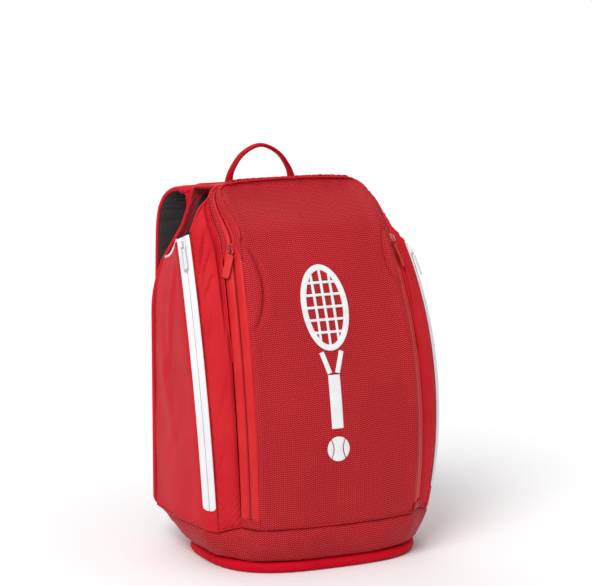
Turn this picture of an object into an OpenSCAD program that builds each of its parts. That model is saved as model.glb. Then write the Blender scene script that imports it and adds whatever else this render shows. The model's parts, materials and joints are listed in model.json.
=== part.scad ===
// Racket backpack: padded body with an open mouth at each shoulder, two curved
// front zips, two curved racket zips, shoulder straps and a grab handle.
// X points right, the front faces -Y, Z points up, and the floor is Z = 0.

/* [Base] */
// Half width of the padded base
base_half_w = 134; // [130:1:140]
// Reach of the base in front of its widest line
base_front = 116; // [108:1:118]
// Reach of the base behind its widest line
base_back = 80; // [72:1:88]
// Thickness of the padded base
base_h = 14; // [10:1:16]
// Height of the front seam above the bottom band
seam_front_z = 58; // [54:1:62]
// Height of the back seam above the bottom band
seam_back_z = 40; // [38:1:44]

/* [Body] */
// Height of the top edge of the front panel
top_z = 456; // [452:1:460]
// Outer face of the back panel
back_y = 135; // [134:1:138]
// Half width of the back panel
back_half_w = 148; // [145:1:150]
// Thickness of the padded fabric walls
wall = 2.5; // [2:0.5:3]
// How far the front panel swells at its foot
front_swell = 14; // [8:1:16]

/* [Zips] */
// Radius of the front zip's arc
front_zip_r = 530; // [520:5:540]
// Width of the front zip's two tapes
front_zip_w = 25; // [22:1:27]
// Radius of the racket zip's arc
racket_zip_r = 422; // [416:2:430]
// Width of the racket zip's two tapes
racket_zip_w = 18; // [16:1:20]
// Length of a zip pull
pull_len = 34; // [28:1:38]

/* [Straps] */
// Width of the shoulder straps
strap_w = 62; // [54:1:66]
// Thickness of the strap's outer shell
strap_shell_t = 4; // [3:0.5:4.5]
// Thickness of the strap's padding
strap_pad_t = 6; // [4:0.5:6.5]
// Width of the strap webbing
webbing_w = 25; // [20:1:25]

/* [Handle] */
// Half of the gap between the handle's feet
handle_half_w = 43; // [40:1:45]
// Height of the handle above its feet
handle_rise = 38; // [32:1:42]

/* [Hidden] */

red = "#c2202e";
deep_red = "#a91628";
white = "#eceaec";
black = "#1b191a";
metal = "#8d1a24";

// Fine segments for the long zip arcs, and ordinary ones for small rounds
arc_fn = 360;
small_fn = 32;
// Gap that keeps neighbouring sewn pieces apart
gap = 0.4;

// A zip is [front point of its arc, azimuth, tilt, radius, half width of both tapes]
front_zip = [[115, -87, 126], 15.5, 2.2, front_zip_r, front_zip_w / 2];
racket_zip = [[155.5, -54, 137], 17, 3.9, racket_zip_r, racket_zip_w / 2];
// Slope of the tapes across the arc
zip_slant = 36;
// Heights where the zips, their tabs and the closed sliders lie
front_zip_z = [67, 396];
front_slider_z = 386;
racket_seam_z = 51;
// The right racket zip ends lower, below its slack mouth
racket_zip_z_left = [80, 396];
racket_zip_z_right = [80, 374];
racket_slider_z_left = 387;
racket_slider_z_right = 365;
zip_slit = 0.6;
tape_t = 1.2;
coil_w = 1.9;
coil_t = 1.5;
slider_len = 13;
slider_w = 9.2;

// Heights on the back corner, shoulder and top
shoulder_z = 357;
shoulder_half_w = 133;
back_top_z = 447;
back_top_half_w = 95;
side_bend_z = 290;
panel_split = 0.8;
strap_x = 97;
strap_top_x = 78;
strap_end = [97, 160, 165];
anchor_at = [128, 138.2, 78];
handle_y = 135;
handle_z = 453;

function unit(v) = v / norm(v);
function mix(a, b, k) = a + (b - a) * k;
function signed_pow(v, p) = sign(v) * pow(abs(v), p);
function bezier(p, u) = pow(1 - u, 3) * p[0] + 3 * u * pow(1 - u, 2) * p[1]
    + 3 * u * u * (1 - u) * p[2] + pow(u, 3) * p[3];
function smooth(k) = let(c = min(max(k, 0), 1)) c * c * (3 - 2 * c);

// Smooth curve through a list of points, with steps points on each span
function spline_at(p, i, u) = let(
    a = p[max(i - 1, 0)], b = p[i], c = p[i + 1], d = p[min(i + 2, len(p) - 1)])
    0.5 * ((2 * b) + (c - a) * u + (2 * a - 5 * b + 4 * c - d) * u * u
    + (3 * b - a - 3 * c + d) * u * u * u);
function spline(p, steps) = concat(
    [for (i = [0:len(p) - 2]) for (k = [0:steps - 1]) spline_at(p, i, k / steps)], [p[len(p) - 1]]);

// Plan outline with square-ish round corners, wider in front than behind or the reverse
function oval(half_w, mid_y, front, back, n_front, n_back, count) = [for (i = [0:count - 1])
    let(c = cos(360 * i / count), s = sin(360 * i / count), n = s < 0 ? n_front : n_back)
    [half_w * signed_pow(c, 2 / n), mid_y + (s < 0 ? front : back) * signed_pow(s, 2 / n)]];

// Closed thin sheet: an outer grid of points, an inner grid behind it, and the rim between
function grid_normal(g, j, i, ring) = let(
    rows = len(g), cols = len(g[0]),
    ia = ring ? (i + cols - 1) % cols : max(i - 1, 0),
    ib = ring ? (i + 1) % cols : min(i + 1, cols - 1))
    unit(cross(g[j][ib] - g[j][ia], g[min(j + 1, rows - 1)][i] - g[max(j - 1, 0)][i]));

function shifted(g, by, ring = false) = [for (j = [0:len(g) - 1])
    [for (i = [0:len(g[0]) - 1]) g[j][i] + by * grid_normal(g, j, i, ring)]];

module sheet(outer, thick, ring = false) {
    rows = len(outer);
    cols = len(outer[0]);
    half = rows * cols;
    last = rows - 1;
    inner = shifted(outer, -thick, ring);
    cells = ring ? cols : cols - 1;
    function at(j, i) = j * cols + i % cols;
    skin = [for (j = [0:rows - 2]) for (i = [0:cells - 1]) each
        [[at(j, i), at(j + 1, i), at(j + 1, i + 1)], [at(j, i), at(j + 1, i + 1), at(j, i + 1)]]];
    lining = [for (f = skin) [f[0] + half, f[2] + half, f[1] + half]];
    ends = [for (i = [0:cells - 1]) each [
        [at(0, i), at(0, i + 1), at(0, i + 1) + half], [at(0, i), at(0, i + 1) + half, at(0, i) + half],
        [at(last, i + 1), at(last, i), at(last, i) + half],
        [at(last, i + 1), at(last, i) + half, at(last, i + 1) + half]]];
    c = cols - 1;
    sides = ring ? [] : [for (j = [0:rows - 2]) each [
        [at(j + 1, 0), at(j, 0), at(j, 0) + half], [at(j + 1, 0), at(j, 0) + half, at(j + 1, 0) + half],
        [at(j, c), at(j + 1, c), at(j + 1, c) + half], [at(j, c), at(j + 1, c) + half, at(j, c) + half]]];
    polyhedron(points = concat([for (r = outer) each r], [for (r = inner) each r]),
        faces = concat(skin, lining, ends, sides), convexity = 6);
}

// Tube with flat ends along a path, its section stretched along the second radius
module tube(path, r_side, r_up, up, count) {
    rings = len(path);
    function forward(k) = unit(path[min(k + 1, rings - 1)] - path[max(k - 1, 0)]);
    points = [for (k = [0:rings - 1]) let(f = forward(k), side = unit(cross(f, up)), top = cross(side, f))
        for (i = [0:count - 1]) path[k] + r_side * cos(360 * i / count) * side
            + r_up * sin(360 * i / count) * top];
    walls = [for (k = [0:rings - 2]) for (i = [0:count - 1]) let(n = (i + 1) % count) each [
        [k * count + i, (k + 1) * count + n, (k + 1) * count + i],
        [k * count + i, k * count + n, (k + 1) * count + n]]];
    caps = [[for (i = [count - 1:-1:0]) i], [for (i = [0:count - 1]) (rings - 1) * count + i]];
    polyhedron(points = points, faces = concat(walls, caps), convexity = 6);
}

// Rounded rectangle with exact arcs
module soft_rect(size, r) {
    steps = 8;
    polygon([for (q = [0:3]) let(sx = (q == 0 || q == 3) ? 1 : -1, sy = q < 2 ? 1 : -1)
        for (i = [0:steps]) let(a = 90 * q + 90 * i / steps)
        [sx * (size[0] / 2 - r) + r * cos(a), sy * (size[1] / 2 - r) + r * sin(a)]]);
}

// Zip geometry, for the right side
function zip_e1(zip) = [sin(zip[1]), -cos(zip[1]), 0];
function zip_e2(zip) = [sin(zip[2]) * cos(zip[1]), sin(zip[2]) * sin(zip[1]), cos(zip[2])];
function zip_hub(zip) = zip[0] - zip[3] * zip_e1(zip);
function zip_turn(zip, z) = asin((z - zip[0][2]) / zip[3] / cos(zip[2]));
function zip_point(zip, turn, across, out = 0) = let(
    e3 = cross(zip_e1(zip), zip_e2(zip)),
    radial = zip_e1(zip) * cos(turn) + zip_e2(zip) * sin(turn))
    zip_hub(zip) + zip[3] * radial + across * (-sin(zip_slant) * radial - cos(zip_slant) * e3)
    + out * (cos(zip_slant) * radial - sin(zip_slant) * e3);
function zip_tangent(zip, turn) = zip_e2(zip) * cos(turn) - zip_e1(zip) * sin(turn);

module zip_place(zip) {
    translate(zip_hub(zip)) rotate([0, 0, zip[1]]) rotate([0, zip[2], 0]) rotate([90, 0, -90]) children();
}

// Strip along the arc between two heights: across and out are [from, to]
module zip_strip(zip, z_range, across, out) {
    from = zip_turn(zip, z_range[0]);
    to = zip_turn(zip, z_range[1]);
    zip_place(zip) rotate([0, 0, from]) rotate_extrude(angle = to - from, $fn = arc_fn)
        translate([zip[3], 0]) rotate(-zip_slant) translate([out[0], -across[1]])
        square([out[1] - out[0], across[1] - across[0]]);
}

// Place at a height on the arc: X outwards, Y up along the zip, Z towards the front
module zip_at(zip, z) {
    zip_place(zip) rotate([0, 0, zip_turn(zip, z)]) translate([zip[3], 0, 0]) rotate([0, zip_slant, 0])
        children();
}

module zip_tapes(zip, z_range) {
    zip_strip(zip, z_range, [zip_slit, zip[4]], [-tape_t / 2, tape_t / 2]);
    zip_strip(zip, z_range, [-zip[4], -zip_slit], [-tape_t / 2, tape_t / 2]);
}

module zip_coils(zip, z_range) {
    under = -tape_t / 2 - 0.05;
    zip_strip(zip, z_range, [zip_slit, zip_slit + coil_w], [under - coil_t, under]);
    zip_strip(zip, z_range, [-zip_slit - coil_w, -zip_slit], [under - coil_t, under]);
}

// Slider: a plate above the tapes, a plate below the coil, a thin web in the slit, and a bridge
plate_top = 3.3;
bridge_top = 6.4;
hinge_x = 4.25;
pin_r = 0.65;
arm_z = 3.3;

module slider_plate(low, high, len, width) {
    translate([low, 0, 0]) rotate([90, 0, 90]) linear_extrude(high - low) soft_rect([len, width], 3);
}

module zip_slider(zip, z) {
    web = 0.3;
    post_y = 3.5;
    zip_at(zip, z) {
        slider_plate(1, plate_top, slider_len, slider_w);
        slider_plate(-4.2, -2.6, slider_len - 1, slider_w - 0.4);
        translate([-3, -4, -web]) cube([4.5, 8, 2 * web]);
        for (s = [-1, 1]) translate([plate_top - 0.5, s * post_y - 0.7, -1.2]) cube([2.6, 1.4, 2.4]);
        translate([bridge_top - 1.2, -post_y - 0.7, -1.2]) cube([1.2, 2 * post_y + 1.4, 2.4]);
    }
}

// Pull: a wire frame hinged under the bridge, and a folded fabric tab
module zip_pull(zip, z, tab_w) {
    frame_len = 8;
    zip_at(zip, z) translate([hinge_x, 0, 0]) {
        translate([0, 0, -arm_z]) cylinder(r = pin_r, h = 2 * arm_z, $fn = small_fn);
        for (s = [-1, 1]) translate([-0.6, -frame_len, s * arm_z - 0.6]) cube([1.2, frame_len + 0.6, 1.2]);
        translate([-0.8, -frame_len - 1.6, -arm_z - 0.6]) cube([1.6, 2, 2 * arm_z + 1.2]);
        translate([-1, -pull_len / 2 - frame_len / 2 - 0.8, 0]) rotate([90, 0, 90])
            linear_extrude(2) soft_rect([pull_len - frame_len, tab_w], 2);
    }
}

// Front panel: edge curves, then a swollen surface between them
front_turns = [zip_turn(front_zip, seam_front_z), zip_turn(front_zip, front_zip_z[1])];
front_edge_off = front_zip_w / 2 + 2 * gap;
edge_joint = zip_point(front_zip, front_turns[1], -front_edge_off);
edge_corner = [edge_joint, edge_joint + 26 * zip_tangent(front_zip, front_turns[1]),
    [111, 63, top_z - 2], [76, 46, top_z + 1.5]];
function front_edge(t) = t <= panel_split
    ? zip_point(front_zip, mix(front_turns[0], front_turns[1], t / panel_split), -front_edge_off)
    : bezier(edge_corner, (t - panel_split) / (1 - panel_split));
function front_face(s, t) = let(
    e = front_edge(t), lean = 60 * pow(t, 2.5),
    swell = mix(front_swell, 3, t) * (1 - pow(abs(s), 2.5)))
    [s * e[0], e[1] - swell * cos(lean), e[2] + swell * sin(lean)];

module front_panel() {
    cols = 18;
    rows = 25;
    color(deep_red) sheet([for (j = [0:rows]) [for (i = [0:cols]) front_face(2 * i / cols - 1, j / rows)]],
        wall);
}

// Emblem: a plain racket and ball in stencil bars, printed thick on the front panel
emblem_x = -7;
head_h = 258;
head_half = [27, 48];
bar_w = 7;
ball_h = 92;
face_len = front_zip_r * (front_turns[1] - front_turns[0]) * PI / 180 / panel_split;
function on_face(p, out) = let(
    t = p[1] / face_len, s = p[0] / front_edge(t)[0], d = 0.01,
    across = front_face(s + d, t) - front_face(s - d, t),
    up = front_face(s, t + d) - front_face(s, t - d))
    front_face(s, t) + out * unit(cross(across, up));

module face_ribbon(path, width, ring = false) {
    raised = 1;
    lift = 0.3;
    count = len(path);
    function along(k) = ring ? path[(k + 1) % count] - path[(k + count - 1) % count]
        : path[min(k + 1, count - 1)] - path[max(k - 1, 0)];
    function edge(k, side) = let(a = unit(along(k))) path[k] + side * width / 2 * [-a[1], a[0]];
    sheet([for (side = [1, -1]) [for (k = [0:count - 1]) on_face(edge(k, side), lift + raised)]],
        raised, ring);
}
module face_bar(from, to, width) {
    pieces = 4;
    face_ribbon([for (k = [0:pieces]) mix(from, to, k / pieces)], width);
}

module front_emblem() {
    turns = 36;
    strings = 5;
    head = [for (i = [0:turns - 1]) [emblem_x + head_half[0] * cos(-360 * i / turns),
        head_h + head_half[1] * sin(-360 * i / turns)]];
    ball = [for (i = [0:19]) [emblem_x + 8 * cos(-18 * i), ball_h + 8 * sin(-18 * i)]];
    foot = head_h - head_half[1] - bar_w / 2;
    color(white) {
        face_ribbon(head, bar_w, true);
        for (k = [1:strings]) let(
            up = mix(-1, 1, k / (strings + 1)),
            reach = (head_half[0] - bar_w / 2) * sqrt(1 - up * up) - 3)
            face_bar([emblem_x - reach, head_h + up * (head_half[1] - bar_w / 2)],
                [emblem_x + reach, head_h + up * (head_half[1] - bar_w / 2)], 3.4);
        for (side = [-1, 1])
            face_bar([emblem_x + side * 13, foot - 1], [emblem_x + side * 5, foot - 26], 6);
        face_bar([emblem_x, foot - 28], [emblem_x, 116], 15);
        face_ribbon(ball, 13, true);
    }
}

module front_binding() {
    steps = 4;
    right = [for (k = [steps:-1:0]) bezier(edge_corner, mix(0.93, 1, k / steps))];
    left = [for (k = [0:steps]) let(p = right[k]) [-p[0], p[1], p[2]]];
    // The cord lies just behind the panel's top edge and ends short of the strips at the corners
    path = [for (p = concat([for (k = [0:steps]) left[steps - k]], [for (k = [0:steps]) right[k]]))
        p + [0, 5.2, 0.6]];
    color(red) tube(path, 1.8, 1.8, [0, 0.3, 1], 8);
}

// Strips beside the front zip
strip_corner = [zip_point(front_zip, front_turns[1], front_edge_off),
    zip_point(front_zip, front_turns[1], front_edge_off) + 20 * zip_tangent(front_zip, front_turns[1]),
    [118, 60, 447], [90, 56, 453]];
function strip_edge(t) = t <= panel_split
    ? zip_point(front_zip, mix(front_turns[0], front_turns[1], t / panel_split), front_edge_off)
    : bezier(strip_corner, (t - panel_split) / (1 - panel_split));

module front_zip_tape_right() {
    color(red) zip_tapes(front_zip, front_zip_z);
}
module front_zip_tape_left() {
    mirror([1, 0, 0]) front_zip_tape_right();
}
module front_zip_coil_right() {
    color(deep_red) zip_coils(front_zip, front_zip_z);
}
module front_zip_coil_left() {
    mirror([1, 0, 0]) front_zip_coil_right();
}
module front_zip_tab_right() {
    half = front_zip[4] - 1;
    heights = [seam_front_z + 1, front_zip_z[0] - gap];
    color(deep_red) zip_strip(front_zip, heights, [-half, half], [-0.8, 0.8]);
}
module front_zip_tab_left() {
    mirror([1, 0, 0]) front_zip_tab_right();
}
module front_zip_top_right() {
    rows = 10;
    start = 0.03;
    // The strip stops short of the corner, where the cord of the binding passes
    function column(k, j) = let(u = mix(start, 0.74, j / rows))
        mix(bezier(edge_corner, u), bezier(strip_corner, u), k);
    color(red) sheet([for (j = [0:rows]) [for (k = [0.16, 0.4, 0.66]) column(k, j)]], 1.2);
}
module front_zip_top_left() {
    mirror([1, 0, 0]) front_zip_top_right();
}

// Side panels
racket_turns = [zip_turn(racket_zip, racket_seam_z), zip_turn(racket_zip, racket_zip_z_left[1])];
racket_edge_off = racket_zip_w / 2 + 1.5 * gap;
// A mouth is [how far its lip stands out, how the top of its zip edge moves, how far that edge closes]
mouth_left = [2, [0, 0, 0], -0.4];
mouth_right = [-14, [-15, 5, -9], racket_edge_off - 0.8];
slack_from = 0.935;
function racket_edge(t, side, mouth) = let(k = smooth((t - slack_from) / (1 - slack_from)))
    k * mouth[1] + zip_point(racket_zip, mix(racket_turns[0], racket_turns[1], t),
    side * (racket_edge_off - mouth[2] * k));
// The side panel leaves the strip before its end, where the mouth begins
strip_share = 0.72;
function side_front_face(s, t, mouth) = let(
    a = strip_edge(t - (1 - strip_share) * max(t - panel_split, 0)),
    b = racket_edge(t, -1, mouth),
    round = sin(180 * s),
    swell = 5 * round * (1 - pow(2 * t - 1, 4)))
    mix(a, b, s) + swell * [0.8, -0.6, 0] + pow(round, 1.7) * pow(t, 7) * [mouth[0], 0, 4];
// Heights of the side panels' rows, closest together beside the mouth
side_rows = concat([for (j = [0:17]) slack_from * j / 17], [0.957, 0.978, 1]);

module side_front_panel(mouth) {
    cols = 8;
    color(red) sheet([for (t = side_rows) [for (i = [0:cols]) side_front_face(i / cols, t, mouth)]], wall);
}
module side_front_panel_right() {
    side_front_panel(mouth_right);
}
module side_front_panel_left() {
    mirror([1, 0, 0]) side_front_panel(mouth_left);
}

module racket_zip_tape_right() {
    color(white) zip_tapes(racket_zip, racket_zip_z_right);
}
module racket_zip_tape_left() {
    color(white) mirror([1, 0, 0]) zip_tapes(racket_zip, racket_zip_z_left);
}
module racket_zip_coil_right() {
    color(white) zip_coils(racket_zip, racket_zip_z_right);
}
module racket_zip_coil_left() {
    color(white) mirror([1, 0, 0]) zip_coils(racket_zip, racket_zip_z_left);
}
module racket_zip_tab_right() {
    half = racket_zip[4] - 1;
    heights = [racket_seam_z + 1, racket_zip_z_left[0] - gap];
    color(red) zip_strip(racket_zip, heights, [-half, half], [-0.8, 0.8]);
}
module racket_zip_tab_left() {
    mirror([1, 0, 0]) racket_zip_tab_right();
}

function back_edge_x(z) = back_half_w - (back_half_w - shoulder_half_w)
    * pow(max(z - side_bend_z, 0) / (shoulder_z - side_bend_z), 2);
function back_edge(t) = let(z = mix(seam_back_z + 2, shoulder_z, t)) [back_edge_x(z), back_y - 4, z];
function rear_side_face(s, t, mouth) = let(a = racket_edge(t, 1, mouth), b = back_edge(t))
    mix(a, b, s) + sin(180 * s) * [5 * (1 - t), 0, -6 * pow(t, 10)];

module rear_side_panel(mouth) {
    cols = 10;
    color(red) sheet([for (t = side_rows) [for (i = [0:cols]) rear_side_face(i / cols, t, mouth)]], wall);
}
module rear_side_panel_right() {
    rear_side_panel(mouth_right);
}
module rear_side_panel_left() {
    mirror([1, 0, 0]) rear_side_panel(mouth_left);
}

// Bound edges of the mouth: a thin white trim behind, and a red lip in front
module mouth_trim(mouth) {
    count = 12;
    path = [for (k = [0:count]) rear_side_face(mix(0.02, 0.98, k / count), 1, mouth) + [-1.2, 0, 2.2]];
    color(white) tube(path, 1.7, 1.7, [0, 0, 1], 8);
}
module mouth_trim_right() {
    mouth_trim(mouth_right);
}
module mouth_trim_left() {
    mirror([1, 0, 0]) mouth_trim(mouth_left);
}
module lip_binding(mouth) {
    count = 12;
    r = 2;
    d = 0.01;
    // The cord lies along the panel's rim, in line with its wall
    function above_rim(s) = let(
        p = side_front_face(s, 1, mouth),
        along = unit(side_front_face(s + d, 1, mouth) - side_front_face(s - d, 1, mouth)),
        climb = p - side_front_face(s, 1 - d, mouth),
        rise = unit(climb - (climb * along) * along))
        p + (r + 0.9) * rise - wall / 2 * cross(along, rise);
    color(red) tube([for (k = [0:count]) above_rim(mix(0.1, 0.94, k / count))], r, r, [0, 0, 1], 8);
}
module lip_binding_right() {
    lip_binding(mouth_right);
}
module lip_binding_left() {
    mirror([1, 0, 0]) lip_binding(mouth_left);
}

// Top cover, divider and back
function top_face(s, t) = [s * mix(79, back_top_half_w - 2, smooth(t)), mix(55, back_y - 4, t),
    mix(top_z - 2, back_top_z - 0.5, t) + 4 * (1 - s * s) * (1 - 0.4 * t)];

module top_cover() {
    cols = 12;
    rows = 6;
    color(red) sheet([for (j = [0:rows]) [for (i = [0:cols]) top_face(2 * i / cols - 1, j / rows)]], wall);
}

// The divider follows the line just in front of the racket zips
divider_turns = [zip_turn(racket_zip, 60), racket_turns[1]];
function divider_line(k) = let(p = zip_point(racket_zip, mix(divider_turns[0], divider_turns[1], k), -14))
    [p[1] + 2, p[2]];
module divider_panel() {
    steps = 14;
    line = concat([for (k = [0:steps]) divider_line(k / steps)], [[60, 443]]);
    profile = concat(line, [for (k = [len(line) - 1:-1:0]) line[k] + [wall, 0]]);
    color(deep_red) intersection() {
        translate([-150, 0, 0]) rotate([90, 0, 90]) linear_extrude(300) polygon(profile);
        translate([0, 200, 0]) rotate([90, 0, 0]) linear_extrude(400)
            polygon([[-134, 52], [134, 52], [141, 120], [141, 260], [131, 340], [106, 392], [80, 442],
            [-80, 442], [-106, 392], [-131, 340], [-141, 260], [-141, 120]]);
    }
}

// Outline of the back, seen from behind: straight sides, rounded shoulders, narrower top
function back_outline(inset, low) = let(
    shoulder = [for (k = [0:8]) let(z = mix(side_bend_z, shoulder_z, k / 8)) [back_edge_x(z) - inset, z]],
    slope = [[back_top_half_w + 12 - inset, 398], [back_top_half_w + 1 - inset, 428]],
    corner = [for (a = [0:15:90]) [back_top_half_w - 12 - inset + 12 * cos(a),
        back_top_z - 12 - inset + 12 * sin(a)]],
    foot = [[back_half_w - 6 - inset, low], [back_half_w - inset, low + 8]],
    right = concat(foot, shoulder, slope, corner))
    concat(right, [for (k = [len(right) - 1:-1:0]) [-right[k][0], right[k][1]]]);

module back_plate(front_y, thick, inset, low) {
    translate([0, front_y + thick, 0]) rotate([90, 0, 0]) linear_extrude(thick)
        polygon(back_outline(inset, low));
}

module back_panel() {
    color(red) back_plate(back_y - 3, 3, 0, seam_back_z + 2);
}
module back_stiffener() {
    color(black) back_plate(back_y - 4.8, 1.5, 10, seam_back_z + 12);
}

module back_cushion(centre, size, r) {
    translate([centre[0], back_y + 0.3 + size[2], centre[1]]) rotate([90, 0, 0]) linear_extrude(size[2])
        soft_rect([size[0], size[1]], r);
}
module back_pad_right() {
    color(black) back_cushion([52, 284], [78, 188, 10], 24);
}
module back_pad_left() {
    mirror([1, 0, 0]) back_pad_right();
}
module lumbar_pad() {
    color(black) back_cushion([0, 132], [182, 88, 12], 26);
}

// Bottom band and base
function seam_height(y) = mix(seam_front_z, seam_back_z, pow(min(max((y + 82) / 215, 0), 1), 0.45)) - 1;
module bottom_band() {
    count = 60;
    foot = oval(base_half_w, 20, base_front, base_back, 3, 2.8, count);
    rim = oval(151, 40, 136, 93, 3, 14, count);
    levels = [0, 0.35, 0.7, 1];
    function band_point(i, t) = let(a = foot[i], b = rim[i], p = mix(a, b, pow(t, 0.8)),
        out = unit(b - [0, 40]) * 2.5 * sin(180 * t))
        [p[0] + out[0], p[1] + out[1], mix(base_h + 0.4, seam_height(b[1]), t)];
    color(deep_red) sheet([for (t = levels) [for (i = [0:count - 1]) band_point(i, t)]], wall, true);
}
module base_pad() {
    color(red) linear_extrude(base_h) polygon(oval(base_half_w, 20, base_front, base_back, 3, 2.8, 96));
}
module base_board() {
    color(black) translate([0, 0, base_h + 0.3]) linear_extrude(3)
        polygon(oval(base_half_w - 8, 20, base_front - 8, base_back - 8, 3, 2.8, 96));
}

// Grab handle: a rolled loop of webbing that stands up from its two anchors
module grab_handle() {
    w = handle_half_w;
    h = handle_rise;
    half = spline([[w, 0], [w - 4, 0.3 * h], [w - 15, 0.72 * h], [w - 29, 0.98 * h], [0, h + 3]], 3);
    arch = concat(half, [for (k = [len(half) - 2:-1:0]) [-half[k][0], half[k][1]]]);
    color(red) tube([for (p = arch) [p[0], handle_y, handle_z + p[1]]], 3, 6, [0, 1, 0], 12);
}
module handle_anchors() {
    color(red) for (s = [-1, 1]) translate([s * handle_half_w, handle_y + 1.9, 436]) rotate([90, 0, 0])
        linear_extrude(1.6) soft_rect([24, 22], 3);
}

// Shoulder straps, for the right side
module strap_yoke() {
    color(red) translate([0, back_y + 2.3, 405]) rotate([90, 0, 0]) linear_extrude(2) soft_rect([176, 38], 6);
}

// Middle line of the strap, with its share of the full width as the fourth number
strap_line = [[strap_top_x, 141, 437, 0.8], [strap_top_x + 2, 150, 441.5, 0.84],
    [strap_top_x + 7, 160, 438, 0.9], [strap_top_x + 13, 167, 426, 0.96],
    [strap_x - 2, 170, 400, 1], [strap_x, 170, 335, 1], [strap_x, 171, 270, 1],
    [strap_x, 172, 215, 0.94], [strap_end[0], strap_end[1] + 2, strap_end[2] + 8, 0.62]];
function strap_grid(steps, cols) = [for (p = spline(strap_line, steps)) [for (i = [0:cols])
    [p[0] + (2 * i / cols - 1) * p[3] * strap_w / 2, p[1], p[2]]]];

module strap_shell_right() {
    color(red) sheet(shifted(strap_grid(3, 4), strap_shell_t + 0.1), strap_shell_t);
}
module strap_shell_left() {
    mirror([1, 0, 0]) strap_shell_right();
}
module strap_padding_right() {
    color(black) sheet(shifted(strap_grid(3, 4), -0.1), strap_pad_t);
}
module strap_padding_left() {
    mirror([1, 0, 0]) strap_padding_right();
}

// Ladder lock: a frame with three bars, hinged at its upper bar
lock_w = 33;
lock_h = 24;
lock_at = [strap_end[0], strap_end[1] - 2, strap_end[2] - 8];
lock_lean = -12;
module ladder_lock_right() {
    color(black) translate(lock_at) rotate([lock_lean, 0, 0]) rotate([90, 0, 0]) translate([0, 0, -2.2])
        linear_extrude(4.4) difference() {
            soft_rect([lock_w, lock_h], 3);
            for (z = [-5.2, 5.2]) translate([0, z]) soft_rect([lock_w - 7, 6.4], 1);
        }
}
module ladder_lock_left() {
    mirror([1, 0, 0]) ladder_lock_right();
}

// Webbing from the lower anchor up to the lock, and the tail that hangs from it
module strap_webbing_right() {
    top = lock_at + [0, 0.5, -lock_h / 2 - 5.6];
    path = spline([top, mix(top, anchor_at, 0.35) + [0, 2, -1], mix(top, anchor_at, 0.75) + [0, 1, 0],
        anchor_at + [0, 1.8, 12]], 3);
    color(red) sheet([for (p = path) [for (s = [-1, 0, 1]) p + s * webbing_w / 2 * [1, 0, 0.4]]], 1.6);
}
module strap_webbing_left() {
    mirror([1, 0, 0]) strap_webbing_right();
}
module webbing_tail_right() {
    top = lock_at + [0, 5, -lock_h / 2 + 4];
    path = spline([top, top + [0, 1.5, -18], top + [-1, 0, -60], top + [-3, -2.5, -104]], 4);
    color(red) sheet([for (p = path) [for (s = [-1, 0, 1]) p + [s * webbing_w / 2, 0, 0]]], 1.6);
}
module webbing_tail_left() {
    mirror([1, 0, 0]) webbing_tail_right();
}

// Sewn wing that ties the webbing to the lower back corner
module lower_anchor_right() {
    color(red) translate([0, back_y + 2.8, 0]) rotate([90, 0, 0]) linear_extrude(2.4)
        polygon([[108, 84], [118, 94], [144, 82], [144, 50], [132, 50]]);
}
module lower_anchor_left() {
    mirror([1, 0, 0]) lower_anchor_right();
}

module front_slider_right() {
    color(metal) zip_slider(front_zip, front_slider_z);
}
module front_slider_left() {
    mirror([1, 0, 0]) front_slider_right();
}
module racket_slider_right() {
    color(white) zip_slider(racket_zip, racket_slider_z_right);
}
module racket_slider_left() {
    color(white) mirror([1, 0, 0]) zip_slider(racket_zip, racket_slider_z_left);
}
module front_pull_right() {
    color(red) zip_pull(front_zip, front_slider_z, 9);
}
module front_pull_left() {
    mirror([1, 0, 0]) front_pull_right();
}
module racket_pull_right() {
    color(white) zip_pull(racket_zip, racket_slider_z_right, 7.6);
}
module racket_pull_left() {
    color(white) mirror([1, 0, 0]) zip_pull(racket_zip, racket_slider_z_left, 7.6);
}

front_panel();
front_emblem();
front_binding();
front_zip_tape_left();
front_zip_tape_right();
front_zip_coil_left();
front_zip_coil_right();
front_zip_tab_left();
front_zip_tab_right();
front_zip_top_left();
front_zip_top_right();
side_front_panel_left();
side_front_panel_right();
racket_zip_tape_left();
racket_zip_tape_right();
racket_zip_coil_left();
racket_zip_coil_right();
racket_zip_tab_left();
racket_zip_tab_right();
rear_side_panel_left();
rear_side_panel_right();
mouth_trim_left();
mouth_trim_right();
lip_binding_left();
lip_binding_right();
top_cover();
divider_panel();
back_panel();
back_stiffener();
back_pad_left();
back_pad_right();
lumbar_pad();
bottom_band();
base_pad();
base_board();
grab_handle();
handle_anchors();
strap_yoke();
strap_shell_left();
strap_shell_right();
strap_padding_left();
strap_padding_right();
strap_webbing_left();
strap_webbing_right();
ladder_lock_left();
ladder_lock_right();
webbing_tail_left();
webbing_tail_right();
lower_anchor_left();
lower_anchor_right();
front_slider_left();
front_slider_right();
racket_slider_left();
racket_slider_right();
front_pull_left();
front_pull_right();
racket_pull_left();
racket_pull_right();
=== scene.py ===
import json
import math

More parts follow.
